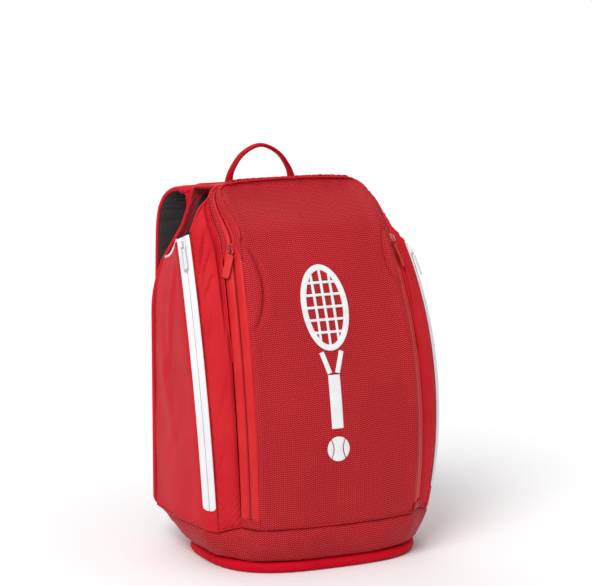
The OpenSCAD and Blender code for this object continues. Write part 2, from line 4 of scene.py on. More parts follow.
import bmesh
import bpy
import numpy as np
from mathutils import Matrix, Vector

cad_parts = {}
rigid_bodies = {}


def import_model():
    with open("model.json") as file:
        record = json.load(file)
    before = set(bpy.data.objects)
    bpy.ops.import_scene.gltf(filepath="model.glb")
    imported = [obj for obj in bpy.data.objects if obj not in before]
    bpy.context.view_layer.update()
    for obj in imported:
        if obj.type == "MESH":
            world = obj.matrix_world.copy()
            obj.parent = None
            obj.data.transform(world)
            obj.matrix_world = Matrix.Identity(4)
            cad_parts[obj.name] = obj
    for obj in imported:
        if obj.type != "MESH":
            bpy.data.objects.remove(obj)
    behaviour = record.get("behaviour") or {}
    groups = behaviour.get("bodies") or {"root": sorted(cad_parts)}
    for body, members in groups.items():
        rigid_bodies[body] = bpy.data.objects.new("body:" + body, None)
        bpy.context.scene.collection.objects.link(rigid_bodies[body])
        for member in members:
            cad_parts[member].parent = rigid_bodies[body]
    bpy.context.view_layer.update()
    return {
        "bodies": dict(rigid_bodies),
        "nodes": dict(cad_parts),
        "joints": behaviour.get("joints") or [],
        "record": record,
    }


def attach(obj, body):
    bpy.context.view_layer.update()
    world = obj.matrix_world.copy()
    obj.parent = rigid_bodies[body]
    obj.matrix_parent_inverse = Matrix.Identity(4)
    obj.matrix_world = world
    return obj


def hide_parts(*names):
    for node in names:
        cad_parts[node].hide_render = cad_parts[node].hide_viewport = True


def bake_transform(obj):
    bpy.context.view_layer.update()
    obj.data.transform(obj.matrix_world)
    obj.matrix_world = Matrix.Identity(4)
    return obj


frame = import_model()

scene = bpy.context.scene
joints = {j["name"]: j for j in frame["joints"]}
rng = np.random.default_rng(11)

# ---------------------------------------------------------------- camera, floor and light
scene.view_settings.view_transform = "Standard"
scene.view_settings.look = "None"

AIM = Vector((-0.028, -0.033, 0.330))
TURN, TILT, DISTANCE = math.radians(25), math.radians(9.11), 2.783
LENS, SENSOR = 139.9, 36
look = Vector((math.sin(TURN) * math.cos(TILT), math.cos(TURN) * math.cos(TILT), -math.sin(TILT)))
camera = bpy.data.objects.new("camera", bpy.data.cameras.new("camera"))
camera.data.lens, camera.data.sensor_width = LENS, SENSOR
camera.data.clip_end = 200
camera.location = AIM - DISTANCE * look
camera.rotation_euler = look.to_track_quat("-Z", "Y").to_euler()
scene.collection.objects.link(camera)
scene.camera = camera


def soft_sun(name, azimuth, height, strength, spread):
    """Even light from far away: azimuth from -Y towards +X, spread is the lamp's width in degrees."""
    lamp = bpy.data.lights.new(name, "SUN")
    lamp.energy, lamp.angle = strength, math.radians(spread)
    obj = bpy.data.objects.new(name, lamp)
    a, h = math.radians(azimuth), math.radians(height)
    towards = Vector((math.sin(a) * math.cos(h), -math.cos(a) * math.cos(h), math.sin(h)))
    obj.rotation_euler = towards.to_track_quat("Z", "Y").to_euler()
    scene.collection.objects.link(obj)


soft_sun("key_light", -50, 46, 2.0, 30)
soft_sun("top_light", -20, 78, 0.8, 60)
soft_sun("back_fill", 170, 35, 0.7, 50)

world = bpy.data.worlds.new("studio")
scene.world = world
world.use_nodes = True
world.node_tree.nodes["Background"].inputs["Color"].default_value = (1, 1, 1, 1)
world.node_tree.nodes["Background"].inputs["Strength"].default_value = 0.36


# ---------------------------------------------------------------- small maths
# Lengths are metres. A grid is an array of rows of points: rows run up the
# piece, and columns run so that (along the row) x (up) points out of the bag.


def unit(v):
    v = np.asarray(v, float)
    return v / np.maximum(np.linalg.norm(v, axis=-1, keepdims=True), 1e-12)


def mix(a, b, k):
    return a + (b - a) * k


def smooth(x):
    x = np.clip(x, 0, 1)
    return x * x * (3 - 2 * x)


def bezier(points, u):
    u = np.asarray(u, float)[..., None]
    a, b, c, d = (np.asarray(p, float) for p in points)
    return (1 - u) ** 3 * a + 3 * u * (1 - u) ** 2 * b + 3 * u * u * (1 - u) * c + u ** 3 * d


def spline(points, steps):
    """Smooth curve through given points, with steps samples on each span."""
    p = np.asarray(points, float)
    p = np.vstack([2 * p[0] - p[1], p, 2 * p[-1] - p[-2]])
    out = []
    for i in range(1, len(p) - 2):
        a, b, c, d = p[i - 1:i + 3]
        for u in np.arange(steps) / steps:
            out.append(0.5 * (2 * b + (c - a) * u + (2 * a - 5 * b + 4 * c - d) * u ** 2
                              + (3 * b - a - 3 * c + d) * u ** 3))
    out.append(p[-2])
    return np.array(out)


def resampled(path, step):
    """The same path with points a fixed distance apart, and that distance run at each point."""
    path = np.asarray(path, float)
    run = np.concatenate([[0], np.cumsum(np.linalg.norm(np.diff(path, axis=0), axis=1))])
    count = max(2, int(round(run[-1] / step)))
    at = np.linspace(0, run[-1], count + 1)
    return np.stack([np.interp(at, run, path[:, k]) for k in range(path.shape[1])], -1), at


def mirrored(points):
    return np.asarray(points) * np.array([-1.0, 1.0, 1.0])


def on_side(grid, side):
    """A right-hand grid, or its mirror image with the columns reversed so that it still faces out."""
    return grid if side == "right" else mirrored(grid)[:, ::-1]


def eased(count, power=0.75):
    """Samples from 0 to 1, closer together at both ends, where seams are."""
    x = np.linspace(-1, 1, count + 1)
    x = np.sign(x) * (1 - (1 - abs(x)) ** (1 / power))
    return (x + 1) / 2


def grid_normals(grid, ring=False):
    if ring:
        across = np.roll(grid, -1, 1) - np.roll(grid, 1, 1)
    else:
        across = np.gradient(grid, axis=1)
    return unit(np.cross(across, np.gradient(grid, axis=0)))


def arc_lengths(grid):
    """Distance in metres along each row from its middle, and up each column from the foot."""
    step = np.linalg.norm(np.diff(grid, axis=1), axis=2)
    u = np.concatenate([np.zeros((len(grid), 1)), np.cumsum(step, axis=1)], axis=1)
    u = u - u[:, -1:] / 2
    rise = np.linalg.norm(np.diff(grid, axis=0), axis=2)
    v = np.concatenate([np.zeros((1, grid.shape[1])), np.cumsum(rise, axis=0)], axis=0)
    return u, v


def cloth_of(grid):
    """Cloth coordinates for both faces of a sheet."""
    u, v = arc_lengths(grid)
    return np.concatenate([np.stack([u.ravel(), v.ravel()], -1)] * 2)


def pushed(grid, amount, ring=False):
    return grid + np.asarray(amount)[..., None] * grid_normals(grid, ring)


def edge_distance(grid, edges="lrbt"):
    """Distance in metres from the nearest of the chosen edges: left, right, bottom and top."""
    u, v = arc_lengths(grid)
    far = {"l": u - u[:, :1], "r": u[:, -1:] - u, "b": v, "t": v[-1:] - v}
    return np.minimum.reduce([far[e] for e in edges])


def seam_dip(grid, depth=0.0014, width=0.0032, edges="lrbt", pucker=0.0003, pitch=0.009):
    """Fabric pulled down along its sewn edges, with small puckers across the seam."""
    d = edge_distance(grid, edges)
    u, v = arc_lengths(grid)
    waves = np.sin(2 * np.pi * (u + v) / pitch) + 0.6 * np.sin(2 * np.pi * (u - v) / (pitch * 1.7) + 1)
    return -depth * np.exp(-(d / width) ** 2) + pucker * waves * np.exp(-((d - 1.5 * width) / (2.5 * width)) ** 2)


def undulation(grid, size, height, waves=5):
    """Slow uneven swelling of slack fabric."""
    u, v = arc_lengths(grid)
    total = np.zeros(u.shape)
    for _ in range(waves):
        a, k, phase = rng.uniform(0, 2 * np.pi), rng.uniform(0.7, 1.5) / size, rng.uniform(0, 2 * np.pi)
        total += np.sin(2 * np.pi * k * (u * math.cos(a) + v * math.sin(a)) + phase)
    return height * total / waves


def fold(x, y, start, end, depth, width):
    """Soft crease between two places on a panel: a valley with a raised side, fading at its ends."""
    a, b = np.asarray(start, float), np.asarray(end, float)
    along = (b - a) / np.linalg.norm(b - a)
    k = ((x - a[0]) * along[0] + (y - a[1]) * along[1]) / np.linalg.norm(b - a)
    d = (x - a[0]) * -along[1] + (y - a[1]) * along[0]
    fade = np.sqrt(np.clip(np.sin(np.pi * np.clip(k, 0, 1)), 0, 1))
    return depth * fade * (0.7 * np.exp(-((d - 1.5 * width) / (1.3 * width)) ** 2) - np.exp(-(d / width) ** 2))


# ---------------------------------------------------------------- materials
class Finish:
    """A material and its node tree, built with short calls."""

    def __init__(self, name, color, roughness, **sockets):
        self.material = bpy.data.materials.new(name)
        self.material.use_nodes = True
        self.tree = self.material.node_tree
        self.shader = self.tree.nodes["Principled BSDF"]
        self.material.diffuse_color = (*color, 1)
        self.set("Base Color", (*color, 1))
        self.set("Roughness", roughness)
        for socket, value in sockets.items():
            self.set(socket.replace("_", " "), value)

    def set(self, socket, value):
        self.shader.inputs[socket].default_value = value

    def node(self, kind, *inputs, **settings):
        made = self.tree.nodes.new("ShaderNode" + kind)
        for key, value in settings.items():
            setattr(made, key, value)
        for k, value in enumerate(inputs):
            if isinstance(value, bpy.types.NodeSocket):
                self.tree.links.new(value, made.inputs[k])
            elif value is not None:
                made.inputs[k].default_value = value
        return made

    def math(self, operation, *inputs):
        return self.node("Math", *inputs, operation=operation).outputs[0]

    def place(self):
        """Coordinates in metres that stay with the piece."""
        return self.node("TexCoord").outputs["Object"]

    def weave(self):
        """Metres along the width and length of the cloth."""
        split = self.node("SeparateXYZ", self.node("Attribute", attribute_name="weave").outputs["Vector"])
        return split.outputs[0], split.outputs[1]

    def noise(self, scale, detail=2, where=None):
        made = self.node("TexNoise", where or self.place())
        made.inputs["Scale"].default_value = scale
        made.inputs["Detail"].default_value = detail
        return made.outputs["Fac"]

    def wave(self, metres, pitch):
        """0 to 1 and back over each pitch."""
        turn = self.math("MULTIPLY", metres, 2 * math.pi / pitch)
        return self.math("MULTIPLY_ADD", self.math("SINE", turn), 0.5, 0.5)

    def colors(self, fac, *stops):
        """Colours in order along fac from 0 to 1, as (place, (red, green, blue))."""
        ramp = self.node("ValToRGB", fac)
        while len(ramp.color_ramp.elements) < len(stops):
            ramp.color_ramp.elements.new(0.5)
        for element, (place, color) in zip(ramp.color_ramp.elements, stops):
            element.position, element.color = place, (*color, 1)
        return ramp.outputs["Color"]

    def shade(self, color, fac, low, high):
        """Colour made darker or lighter by fac, from low times to high times."""
        level = self.node("MapRange", fac, 0.0, 1.0, low, high).outputs["Result"]
        grey = self.node("CombineColor", level, level, level).outputs["Color"]
        mixed = self.node("Mix", data_type="RGBA", blend_type="MULTIPLY")
        mixed.inputs["Factor"].default_value = 1.0
        self.tree.links.new(color, mixed.inputs["A"])
        self.tree.links.new(grey, mixed.inputs["B"])
        return mixed.outputs["Result"]

    def link(self, socket, output):
        self.tree.links.new(output, self.shader.inputs[socket])

    def rough(self, fac, low, high):
        self.link("Roughness", self.node("MapRange", fac, 0.0, 1.0, low, high).outputs["Result"])

    def bump(self, height, distance, strength=1.0, under=None):
        made = self.node("Bump")
        made.inputs["Strength"].default_value = strength
        made.inputs["Distance"].default_value = distance
        self.tree.links.new(height, made.inputs["Height"])
        if under is not None:
            self.tree.links.new(under, made.inputs["Normal"])
        self.link("Normal", made.outputs["Normal"])
        return made.outputs["Normal"]


def dobby_fabric():
    """Front panel cloth: level rows of short strokes that slant up and down in turn. The raised strokes are painted
    lighter and pinker as a painted highlight, and the hollows between them darker as painted shade.
    """
    f = Finish("dobby_fabric", (0.5, 0.006, 0.018), 0.6, Specular_IOR_Level=0.13)
    u, v = f.weave()
    pitch, row = 0.0054, 0.0025
    zigzag = f.math("PINGPONG", f.math("DIVIDE", u, pitch), 0.5)
    turn = f.math("MULTIPLY_ADD", zigzag, 1.5, f.math("DIVIDE", v, row))
    stroke = f.math("MULTIPLY_ADD", f.math("SINE", f.math("MULTIPLY", turn, 2 * math.pi)), 0.5, 0.5)
    ends = f.math("SQRT", f.math("ABSOLUTE", f.math("SINE", f.math("MULTIPLY", u, 2 * math.pi / pitch))))
    height = f.math("MULTIPLY", stroke, f.math("MULTIPLY_ADD", ends, 0.65, 0.35))
    threads = f.wave(f.math("ADD", u, v), 0.0007)
    # Colour follows the weave's height: the cloth's own stroke pattern, plus a painted highlight (pale pink) on the
    # raised strokes and painted shade in the hollows between them
    color = f.colors(height, (0.0, (0.19, 0.000, 0.004)), (0.40, (0.37, 0.002, 0.010)),
                     (0.90, (0.82, 0.056, 0.062)))
    color = f.shade(color, f.noise(9), 0.86, 1.12)
    f.link("Base Color", f.shade(color, threads, 0.96, 1.04))
    f.rough(height, 0.6, 0.44)
    f.bump(f.math("MULTIPLY_ADD", threads, 0.12, height), 0.00045, 0.9)
    return f.material


def twill_fabric(name="twill_fabric", low=(0.53, 0.012, 0.022), high=(0.62, 0.024, 0.032)):
    """Side cloth: fine diagonal twill with soft uneven colour."""
    f = Finish(name, high, 0.5, Specular_IOR_Level=0.04)
    u, v = f.weave()
    slant = f.math("ADD", f.math("MULTIPLY", u, 0.8), v)
    twill = f.wave(slant, 0.0026)
    cross = f.math("MULTIPLY", f.wave(u, 0.0006), f.wave(v, 0.0006))
    patch = f.noise(14, 3)
    f.link("Base Color", f.shade(f.colors(patch, (0.25, low), (0.75, high)), twill, 0.94, 1.05))
    f.rough(patch, 0.46, 0.58)
    fine = f.bump(cross, 0.00012, 0.6)
    f.bump(twill, 0.00012, 0.35, fine)
    return f.material


def band_fabric(name, color, light, roughness=0.42, rib=0.0009):
    """Coated tape: fine ribs along its length."""
    f = Finish(name, color, roughness, Specular_IOR_Level=0.2)
    u, v = f.weave()
    ribs = f.wave(u, rib)
    patch = f.noise(30, 2)
    f.link("Base Color", f.shade(f.colors(patch, (0.3, color), (0.8, light)), ribs, 0.97, 1.02))
    f.rough(patch, roughness - 0.06, roughness + 0.08)
    f.bump(f.math("MULTIPLY", ribs, f.wave(v, 0.0011)), 0.0001, 0.5)
    return f.material


def webbing_fabric(name, low, high):
    """Heavy webbing: plaited chevrons a few millimetres long."""
    f = Finish(name, high, 0.62, Specular_IOR_Level=0.08)
    u, v = f.weave()
    arm = f.math("PINGPONG", f.math("DIVIDE", u, 0.004), 0.5)
    plait = f.wave(f.math("ADD", v, f.math("MULTIPLY", arm, 0.004)), 0.0017)
    rib = f.wave(u, 0.002)
    height = f.math("MULTIPLY_ADD", rib, 0.4, plait)
    f.link("Base Color", f.shade(f.colors(plait, (0.1, low), (0.9, high)), f.noise(25), 0.9, 1.1))
    f.bump(height, 0.0004, 0.8)
    return f.material


def mesh_fabric():
    """Padded air mesh: round holes in staggered rows over a darker layer."""
    f = Finish("air_mesh", (0.02, 0.02, 0.021), 0.75, Sheen_Weight=0.35, Sheen_Roughness=0.5)
    u, v = f.weave()
    a = f.wave(f.math("ADD", u, f.math("MULTIPLY", v, 0.58)), 0.0028)
    b = f.wave(f.math("SUBTRACT", u, f.math("MULTIPLY", v, 0.58)), 0.0028)
    hole = f.math("SMOOTH_MIN", a, b, 0.2)
    f.link("Base Color", f.shade(f.colors(hole, (0.15, (0.006, 0.006, 0.006)), (0.55, (0.032, 0.031, 0.033))),
                                 f.noise(20), 0.85, 1.15))
    f.rough(hole, 0.9, 0.62)
    f.bump(hole, 0.0006, 0.8)
    return f.material


def plain_lining(name, low, high):
    """Thin lining cloth with a fine plain weave."""
    f = Finish(name, high, 0.6, Sheen_Weight=0.1)
    u, v = f.weave()
    cross = f.math("MULTIPLY", f.wave(u, 0.0009), f.wave(v, 0.0009))
    f.link("Base Color", f.shade(f.colors(f.noise(12, 3), (0.3, low), (0.7, high)), cross, 0.93, 1.04))
    f.bump(cross, 0.00012, 0.5)
    return f.material


def rubber_print():
    """Raised print with a faint grain and slightly rubbed patches."""
    f = Finish("rubber_print", (0.8, 0.81, 0.81), 0.45)
    worn = f.noise(60, 4)
    f.link("Base Color", f.colors(worn, (0.25, (0.72, 0.73, 0.73)), (0.6, (0.82, 0.83, 0.83))))
    f.rough(worn, 0.38, 0.55)
    f.bump(f.noise(900, 2), 0.0001, 0.4)
    return f.material


def moulded_plastic(name, color):
    f = Finish(name, color, 0.42)
    grain = f.noise(1400, 2)
    scuffs = f.noise(90, 4)
    f.link("Base Color", f.shade(f.colors(scuffs, (0.3, color), (0.9, tuple(c * 1.6 + 0.01 for c in color))),
                                 grain, 0.9, 1.1))
    f.rough(scuffs, 0.34, 0.55)
    f.bump(grain, 0.00008, 0.5)
    return f.material


def enamel(name, color):
    """Painted die-cast metal, with the paint a little thin here and there."""
    f = Finish(name, color, 0.3, Coat_Weight=0.5, Coat_Roughness=0.12)
    worn = f.noise(240, 4)
    f.link("Base Color", f.colors(worn, (0.35, tuple(c * 0.75 for c in color)), (0.6, color)))
    f.rough(worn, 0.22, 0.4)
    f.bump(f.noise(500, 2), 0.00006, 0.4)
    return f.material


def thread(name, color):
    f = Finish(name, color, 0.55, Sheen_Weight=0.2)
    twist = f.noise(1200, 2)
    f.link("Base Color", f.colors(twist, (0.3, tuple(c * 0.8 for c in color)), (0.7, color)))
    f.bump(twist, 0.0001, 0.5)
    return f.material


DOBBY = dobby_fabric()
TWILL = twill_fabric()
BASE_CLOTH = twill_fabric("base_fabric", (0.54, 0.002, 0.014), (0.64, 0.007, 0.022))
RED_BAND = band_fabric("red_band", (0.57, 0.012, 0.016), (0.65, 0.022, 0.024))
BINDING = band_fabric("red_binding", (0.52, 0.003, 0.014), (0.62, 0.008, 0.020), 0.5)
WHITE_BAND = band_fabric("white_band", (0.75, 0.76, 0.79), (0.82, 0.82, 0.85), 0.4)
RED_WEB = webbing_fabric("red_webbing", (0.36, 0.002, 0.010), (0.62, 0.010, 0.020))
RED_PULL = band_fabric("red_pull", (0.56, 0.022, 0.022), (0.66, 0.034, 0.030), 0.5)
WHITE_PULL = webbing_fabric("white_pull", (0.70, 0.71, 0.74), (0.86, 0.86, 0.88))
LINING = plain_lining("red_lining", (0.30, 0.010, 0.022), (0.42, 0.022, 0.038))
AIR_MESH = mesh_fabric()
PRINT = rubber_print()
PLASTIC = moulded_plastic("black_plastic", (0.018, 0.018, 0.019))
BOARD = moulded_plastic("black_board", (0.03, 0.03, 0.032))
RED_METAL = enamel("red_enamel", (0.50, 0.016, 0.020))
WHITE_METAL = enamel("white_enamel", (0.78, 0.78, 0.80))
# Both coils are painted darker than their tapes: painted shade for the slit between the lips, where the teeth show
RED_COIL = moulded_plastic("red_coil", (0.16, 0.004, 0.010))
WHITE_COIL = moulded_plastic("white_coil", (0.42, 0.42, 0.45))
RED_THREAD = thread("red_thread", (0.62, 0.045, 0.05))

floor_finish = Finish("floor_white", (0.86, 0.86, 0.865), 0.9)
floor_finish.link("Base Color", floor_finish.colors(floor_finish.noise(2), (0.3, (0.855, 0.855, 0.86)),
                                                    (0.7, (0.87, 0.87, 0.875))))
floor_mesh = bpy.data.meshes.new("floor")
FLOOR_R = 60
floor_ring = [(FLOOR_R * math.cos(a), FLOOR_R * math.sin(a), 0) for a in np.radians(np.arange(0, 360, 10))]
floor_mesh.from_pydata(floor_ring, [], [list(range(len(floor_ring)))])
floor_mesh.materials.append(floor_finish.material)
floor = bpy.data.objects.new("floor", floor_mesh)
scene.collection.objects.link(floor)


# ---------------------------------------------------------------- piece builders
SMOOTH_ANGLE = math.radians(48)


def piece(name, points, faces, material, body="bag", slot=None, nodes=(), weave=None):
    """A mesh object that rides on a body. Its faces keep sharp edges only where they turn steeply."""
    mesh = bpy.data.meshes.new(name)
    mesh.from_pydata([tuple(p) for p in np.asarray(points, float)], [], [list(map(int, f)) for f in faces])
    mesh.update()
    mesh.shade_smooth()
    mesh.set_sharp_from_angle(angle=SMOOTH_ANGLE)
    mesh.materials.append(material)
    if weave is not None:
        flat = np.zeros((len(mesh.vertices), 3), np.float32)
        flat[:, :2] = weave
        mesh.attributes.new("weave", "FLOAT_VECTOR", "POINT").data.foreach_set("vector", flat.ravel())
    obj = bpy.data.objects.new(name, mesh)
    scene.collection.objects.link(obj)
    if body:
        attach(obj, body)
    if nodes:
        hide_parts(*nodes)
    return obj


def shell_mesh(outer, inner, ring=False):
    """Points and faces of a closed sheet with a skin, a lining and the rim between them."""
    rows, cols = outer.shape[:2]
    wide = cols if ring else cols - 1
    at = np.arange(rows * cols).reshape(rows, cols)
    nxt = np.roll(at, -1, 1)
    skin = np.stack([at[:-1], nxt[:-1], nxt[1:], at[1:]], -1)[:, :wide].reshape(-1, 4)
    lining = skin[:, ::-1] + rows * cols
    back = rows * cols
    foot = np.stack([at[0], at[0] + back, nxt[0] + back, nxt[0]], -1)[:wide]
    head = np.stack([at[-1], nxt[-1], nxt[-1] + back, at[-1] + back], -1)[:wide]
    parts = [skin, lining, foot, head]
    if not ring:
        left, right = at[:, 0], at[:, -1]
        parts.append(np.stack([left[:-1], left[1:], left[1:] + back, left[:-1] + back], -1))
        parts.append(np.stack([right[:-1], right[:-1] + back, right[1:] + back, right[1:]], -1))
    return np.concatenate([outer.reshape(-1, 3), inner.reshape(-1, 3)]), np.concatenate(parts)


def shell(name, outer, thick, material, ring=False, lining=None, **where):
    """Closed sheet from its outer grid and its thickness. The lining may have its own material."""
    inner = pushed(outer, -np.broadcast_to(thick, outer.shape[:2]), ring)
    points, faces = shell_mesh(outer, inner, ring)
    obj = piece(name, points, faces, material, weave=cloth_of(outer), **where)
    if lining is not None:
        obj.data.materials.append(lining)
        rows, cols = outer.shape[:2]
        cells = (rows - 1) * (cols if ring else cols - 1)
        index = np.zeros(len(faces), np.int32)
        index[cells:2 * cells] = 1
        obj.data.polygons.foreach_set("material_index", index)
    return obj


def sweep(path, profile, up, closed=False, round_ends=True):
    """Points, faces and cloth coordinates of a section carried along a path.
    The profile's first number runs along side = direction x up, and its second along up."""
    path, profile = np.asarray(path, float), np.asarray(profile, float)
    if closed:
        ahead = unit(np.roll(path, -1, 0) - np.roll(path, 1, 0))
    else:
        ahead = unit(np.gradient(path, axis=0))
    up = np.broadcast_to(np.asarray(up, float), path.shape)
    side = unit(np.cross(ahead, up))
    top = np.cross(side, ahead)
    run = np.concatenate([[0], np.cumsum(np.linalg.norm(np.diff(path, axis=0), axis=1))])
    size = np.ones(len(path))
    if round_ends and not closed:
        reach = abs(profile).max()
        for d in (run, run[-1] - run):
            size = np.minimum(size, np.sqrt(np.clip(1 - (1 - np.clip(d / reach, 0, 1)) ** 2, 0.02, 1)))
    rings = (path[:, None] + side[:, None] * (profile[:, 0] * size[:, None])[..., None]
             + top[:, None] * (profile[:, 1] * size[:, None])[..., None])
    n, count = rings.shape[:2]
    at = np.arange(n * count).reshape(n, count)
    after = np.roll(at, -1, 0)[: n if closed else n - 1]
    here = at[: len(after)]
    faces = np.stack([here, np.roll(here, -1, 1), np.roll(after, -1, 1), after], -1).reshape(-1, 4).tolist()
    if not closed:
        faces += [list(at[0][::-1]), list(at[-1])]
    girth = np.concatenate([[0], np.cumsum(np.linalg.norm(np.diff(profile, axis=0), axis=1))])
    cloth = np.stack(np.broadcast_arrays(girth[None], run[:, None]), -1).reshape(-1, 2)
    return rings.reshape(-1, 3), faces, cloth


def round_section(half_w, half_h, count=14, power=2.0):
    a = np.linspace(0, 2 * np.pi, count, endpoint=False)
    c, s = np.cos(a), np.sin(a)
    return np.stack([half_w * np.sign(c) * abs(c) ** (2 / power), half_h * np.sign(s) * abs(s) ** (2 / power)], -1)


def tube(name, path, half_w, half_h, up, material, count=14, power=2.0, closed=False, **where):
    points, faces, cloth = sweep(path, round_section(half_w, half_h, count, power), up, closed)
    obj = piece(name, points, faces, material, weave=cloth, **where)
    return outward(obj)


def outward(obj):
    """Turn every face outwards."""
    bm = bmesh.new()
    bm.from_mesh(obj.data)
    bmesh.ops.recalc_face_normals(bm, faces=bm.faces)
    bm.to_mesh(obj.data)
    bm.free()
    return obj


def merged(parts):
    """Several (points, faces, cloth) as one."""
    points, faces, cloth, base = [], [], [], 0
    for p, f, c in parts:
        points.append(np.asarray(p, float))
        cloth.append(np.asarray(c, float))
        faces += [[i + base for i in face] for face in f]
        base += len(p)
    return np.concatenate(points), faces, np.concatenate(cloth)


def stitches(name, path, normals, material, length=0.0030, gap=0.0013, radius=0.00038, body="bag", slot=None):
    """A row of short threads that lie on a seam and dip into the cloth at both ends."""
    line, _ = resampled(np.concatenate([path, normals], 1), (length + gap) / 4)
    points, out = line[:, :3], unit(line[:, 3:])
    parts = []
    lift = np.array([-0.2, 0.55, 0.75, 0.55, -0.2]) * radius
    for k in range(0, len(points) - 4, 4):
        start, end = points[k], points[k] + (points[k + 4] - points[k]) * length / (length + gap)
        track = start + (end - start) * np.linspace(0, 1, 5)[:, None] + lift[:, None] * out[k]
        parts.append(sweep(track, round_section(radius, radius, 6), out[k]))
    points, faces, cloth = merged(parts)
    return outward(piece(name, points, faces, material, body=body, slot=slot, weave=cloth))


# ---------------------------------------------------------------- zip arcs
FRONT_R, RACKET_R = 0.530, 0.422
SLANT = math.radians(36)
FRONT_W, RACKET_W = 0.025, 0.018
GAP = 0.0004


class ZipArc:
    """Circular path of a zip on the right side, taken from the joint its slider turns on."""

    def __init__(self, joint, radius, width, slider_z):
        self.hub = np.array(joints[joint]["pos_m"])
        self.axis = unit(joints[joint]["axis"])
        self.e1 = unit([self.axis[1], -self.axis[0], 0])
        self.e2 = np.cross(self.e1, self.axis)
        if self.e2[2] < 0:
            self.e2 = -self.e2
        self.radius, self.half = radius, width / 2
        self.slider_turn = float(self.turn(slider_z))

    def turn(self, z):
        return np.arcsin((np.asarray(z, float) - self.hub[2]) / self.radius / self.e2[2])

    def point(self, turn, across=0.0, out=0.0):
        """across runs backwards from the zip's middle, and out leaves the bag."""
        turn, across, out = np.broadcast_arrays(turn, across, out)
        radial = np.cos(turn)[..., None] * self.e1 + np.sin(turn)[..., None] * self.e2
        back = -math.sin(SLANT) * radial + math.cos(SLANT) * self.axis
        normal = math.cos(SLANT) * radial + math.sin(SLANT) * self.axis
        return self.hub + self.radius * radial + across[..., None] * back + out[..., None] * normal

    def tangent(self, turn):
        return -math.sin(turn) * self.e1 + math.cos(turn) * self.e2

    def at_slider(self, out, along, front):
        """A place given from the closed slider: out of the bag, up along the zip, and to the front."""
        out, along, front = np.broadcast_arrays(out, along, front)
        return self.point(self.slider_turn, -front, out) + along[..., None] * self.tangent(self.slider_turn)


front_zip = ZipArc("front_slider_right_run", FRONT_R, FRONT_W, 0.386)
racket_zip = ZipArc("racket_slider_right_run", RACKET_R, RACKET_W, 0.365)
racket_zip_left = ZipArc("racket_slider_right_run", RACKET_R, RACKET_W, 0.387)
FRONT_ENDS = (0.067, 0.396)
RACKET_ENDS = {"left": (0.080, 0.396), "right": (0.080, 0.374)}
SIDE_TOP = 0.396

# ---------------------------------------------------------------- body curves
TOP_Z = 0.456
SEAM_FRONT, SEAM_BACK, SEAM_SIDE = 0.058, 0.040, 0.051
SPLIT = 0.8
BACK_Y = 0.135
BACK_HALF, SHOULDER_HALF, TOP_HALF = 0.148, 0.133, 0.095
BEND_Z, SHOULDER_Z, BACK_TOP = 0.290, 0.357, 0.447
WALL = 0.0025
SIDES = ("left", "right")

front_turns = front_zip.turn([SEAM_FRONT, FRONT_ENDS[1]])
EDGE_OFF = front_zip.half + 2 * GAP
upper = front_zip.tangent(front_turns[1])
panel_joint = front_zip.point(front_turns[1], -EDGE_OFF)
strip_joint = front_zip.point(front_turns[1], EDGE_OFF)
panel_corner = [panel_joint, panel_joint + 0.026 * upper,
                (0.111, 0.063, TOP_Z - 0.002), (0.076, 0.046, TOP_Z + 0.0015)]
strip_corner = [strip_joint, strip_joint + 0.020 * upper, (0.118, 0.060, 0.447), (0.090, 0.056, 0.453)]


def side_curve(t, across, corner):
    """A line that runs up beside the front zip and then bends over the top corner."""
    t = np.asarray(t, float)
    low = front_zip.point(mix(front_turns[0], front_turns[1], np.clip(t / SPLIT, 0, 1)), across)
    high = bezier(corner, np.clip((t - SPLIT) / (1 - SPLIT), 0, 1))
    return np.where((t <= SPLIT)[..., None], low, high)


def front_edge(t):
    return side_curve(t, -EDGE_OFF, panel_corner)


def strip_edge(t):
    return side_curve(t, EDGE_OFF, strip_corner)


def front_face(s, t):
    """Swollen front panel: s from -1 at its left edge to 1, t from 0 at its foot to 1."""
    s, t = np.broadcast_arrays(np.asarray(s, float), np.asarray(t, float))
    e = front_edge(t)
    lean = np.radians(60) * t ** 2.5
    swell = mix(0.014, 0.003, t) * (1 - abs(s) ** 2.5)
    return np.stack([s * e[..., 0], e[..., 1] - swell * np.cos(lean), e[..., 2] + swell * np.sin(lean)], -1)


racket_turns = racket_zip.turn([SEAM_SIDE, SIDE_TOP])
RACKET_OFF = racket_zip.half + 1.5 * GAP

# How the cloth hangs round each side's mouth: the lip's flare, how far both edges
# drift from the zip's arc above SLACK_FROM, and how much nearer they come together
MOUTH = {"left": (0.002, (0, 0, 0), -0.0004), "right": (-0.014, (-0.015, 0.005, -0.009), RACKET_OFF - 0.0008)}
SLACK_FROM, STRIP_SHARE = 0.935, 0.72


def racket_edge(t, side, mouth):
    k = smooth((np.asarray(t, float) - SLACK_FROM) / (1 - SLACK_FROM))
    edge = racket_zip.point(mix(racket_turns[0], racket_turns[1], t), side * (RACKET_OFF - mouth[2] * k))
    return edge + k[..., None] * np.array(mouth[1])


def side_front_face(s, t, mouth):
    s, t = np.broadcast_arrays(np.asarray(s, float), np.asarray(t, float))
    hump = np.sin(np.pi * s)
    swell = 0.005 * hump * (1 - (2 * t - 1) ** 4)
    front = strip_edge(t - (1 - STRIP_SHARE) * np.maximum(t - SPLIT, 0))
    return (mix(front, racket_edge(t, -1, mouth), s[..., None]) + swell[..., None] * np.array([0.8, -0.6, 0])
            + (np.clip(hump, 0, 1) ** 1.7 * t ** 7)[..., None] * np.array([mouth[0], 0, 0.004]))


def back_edge_x(z):
    over = np.clip((z - BEND_Z) / (SHOULDER_Z - BEND_Z), 0, 1)
    return BACK_HALF - (BACK_HALF - SHOULDER_HALF) * over ** 2


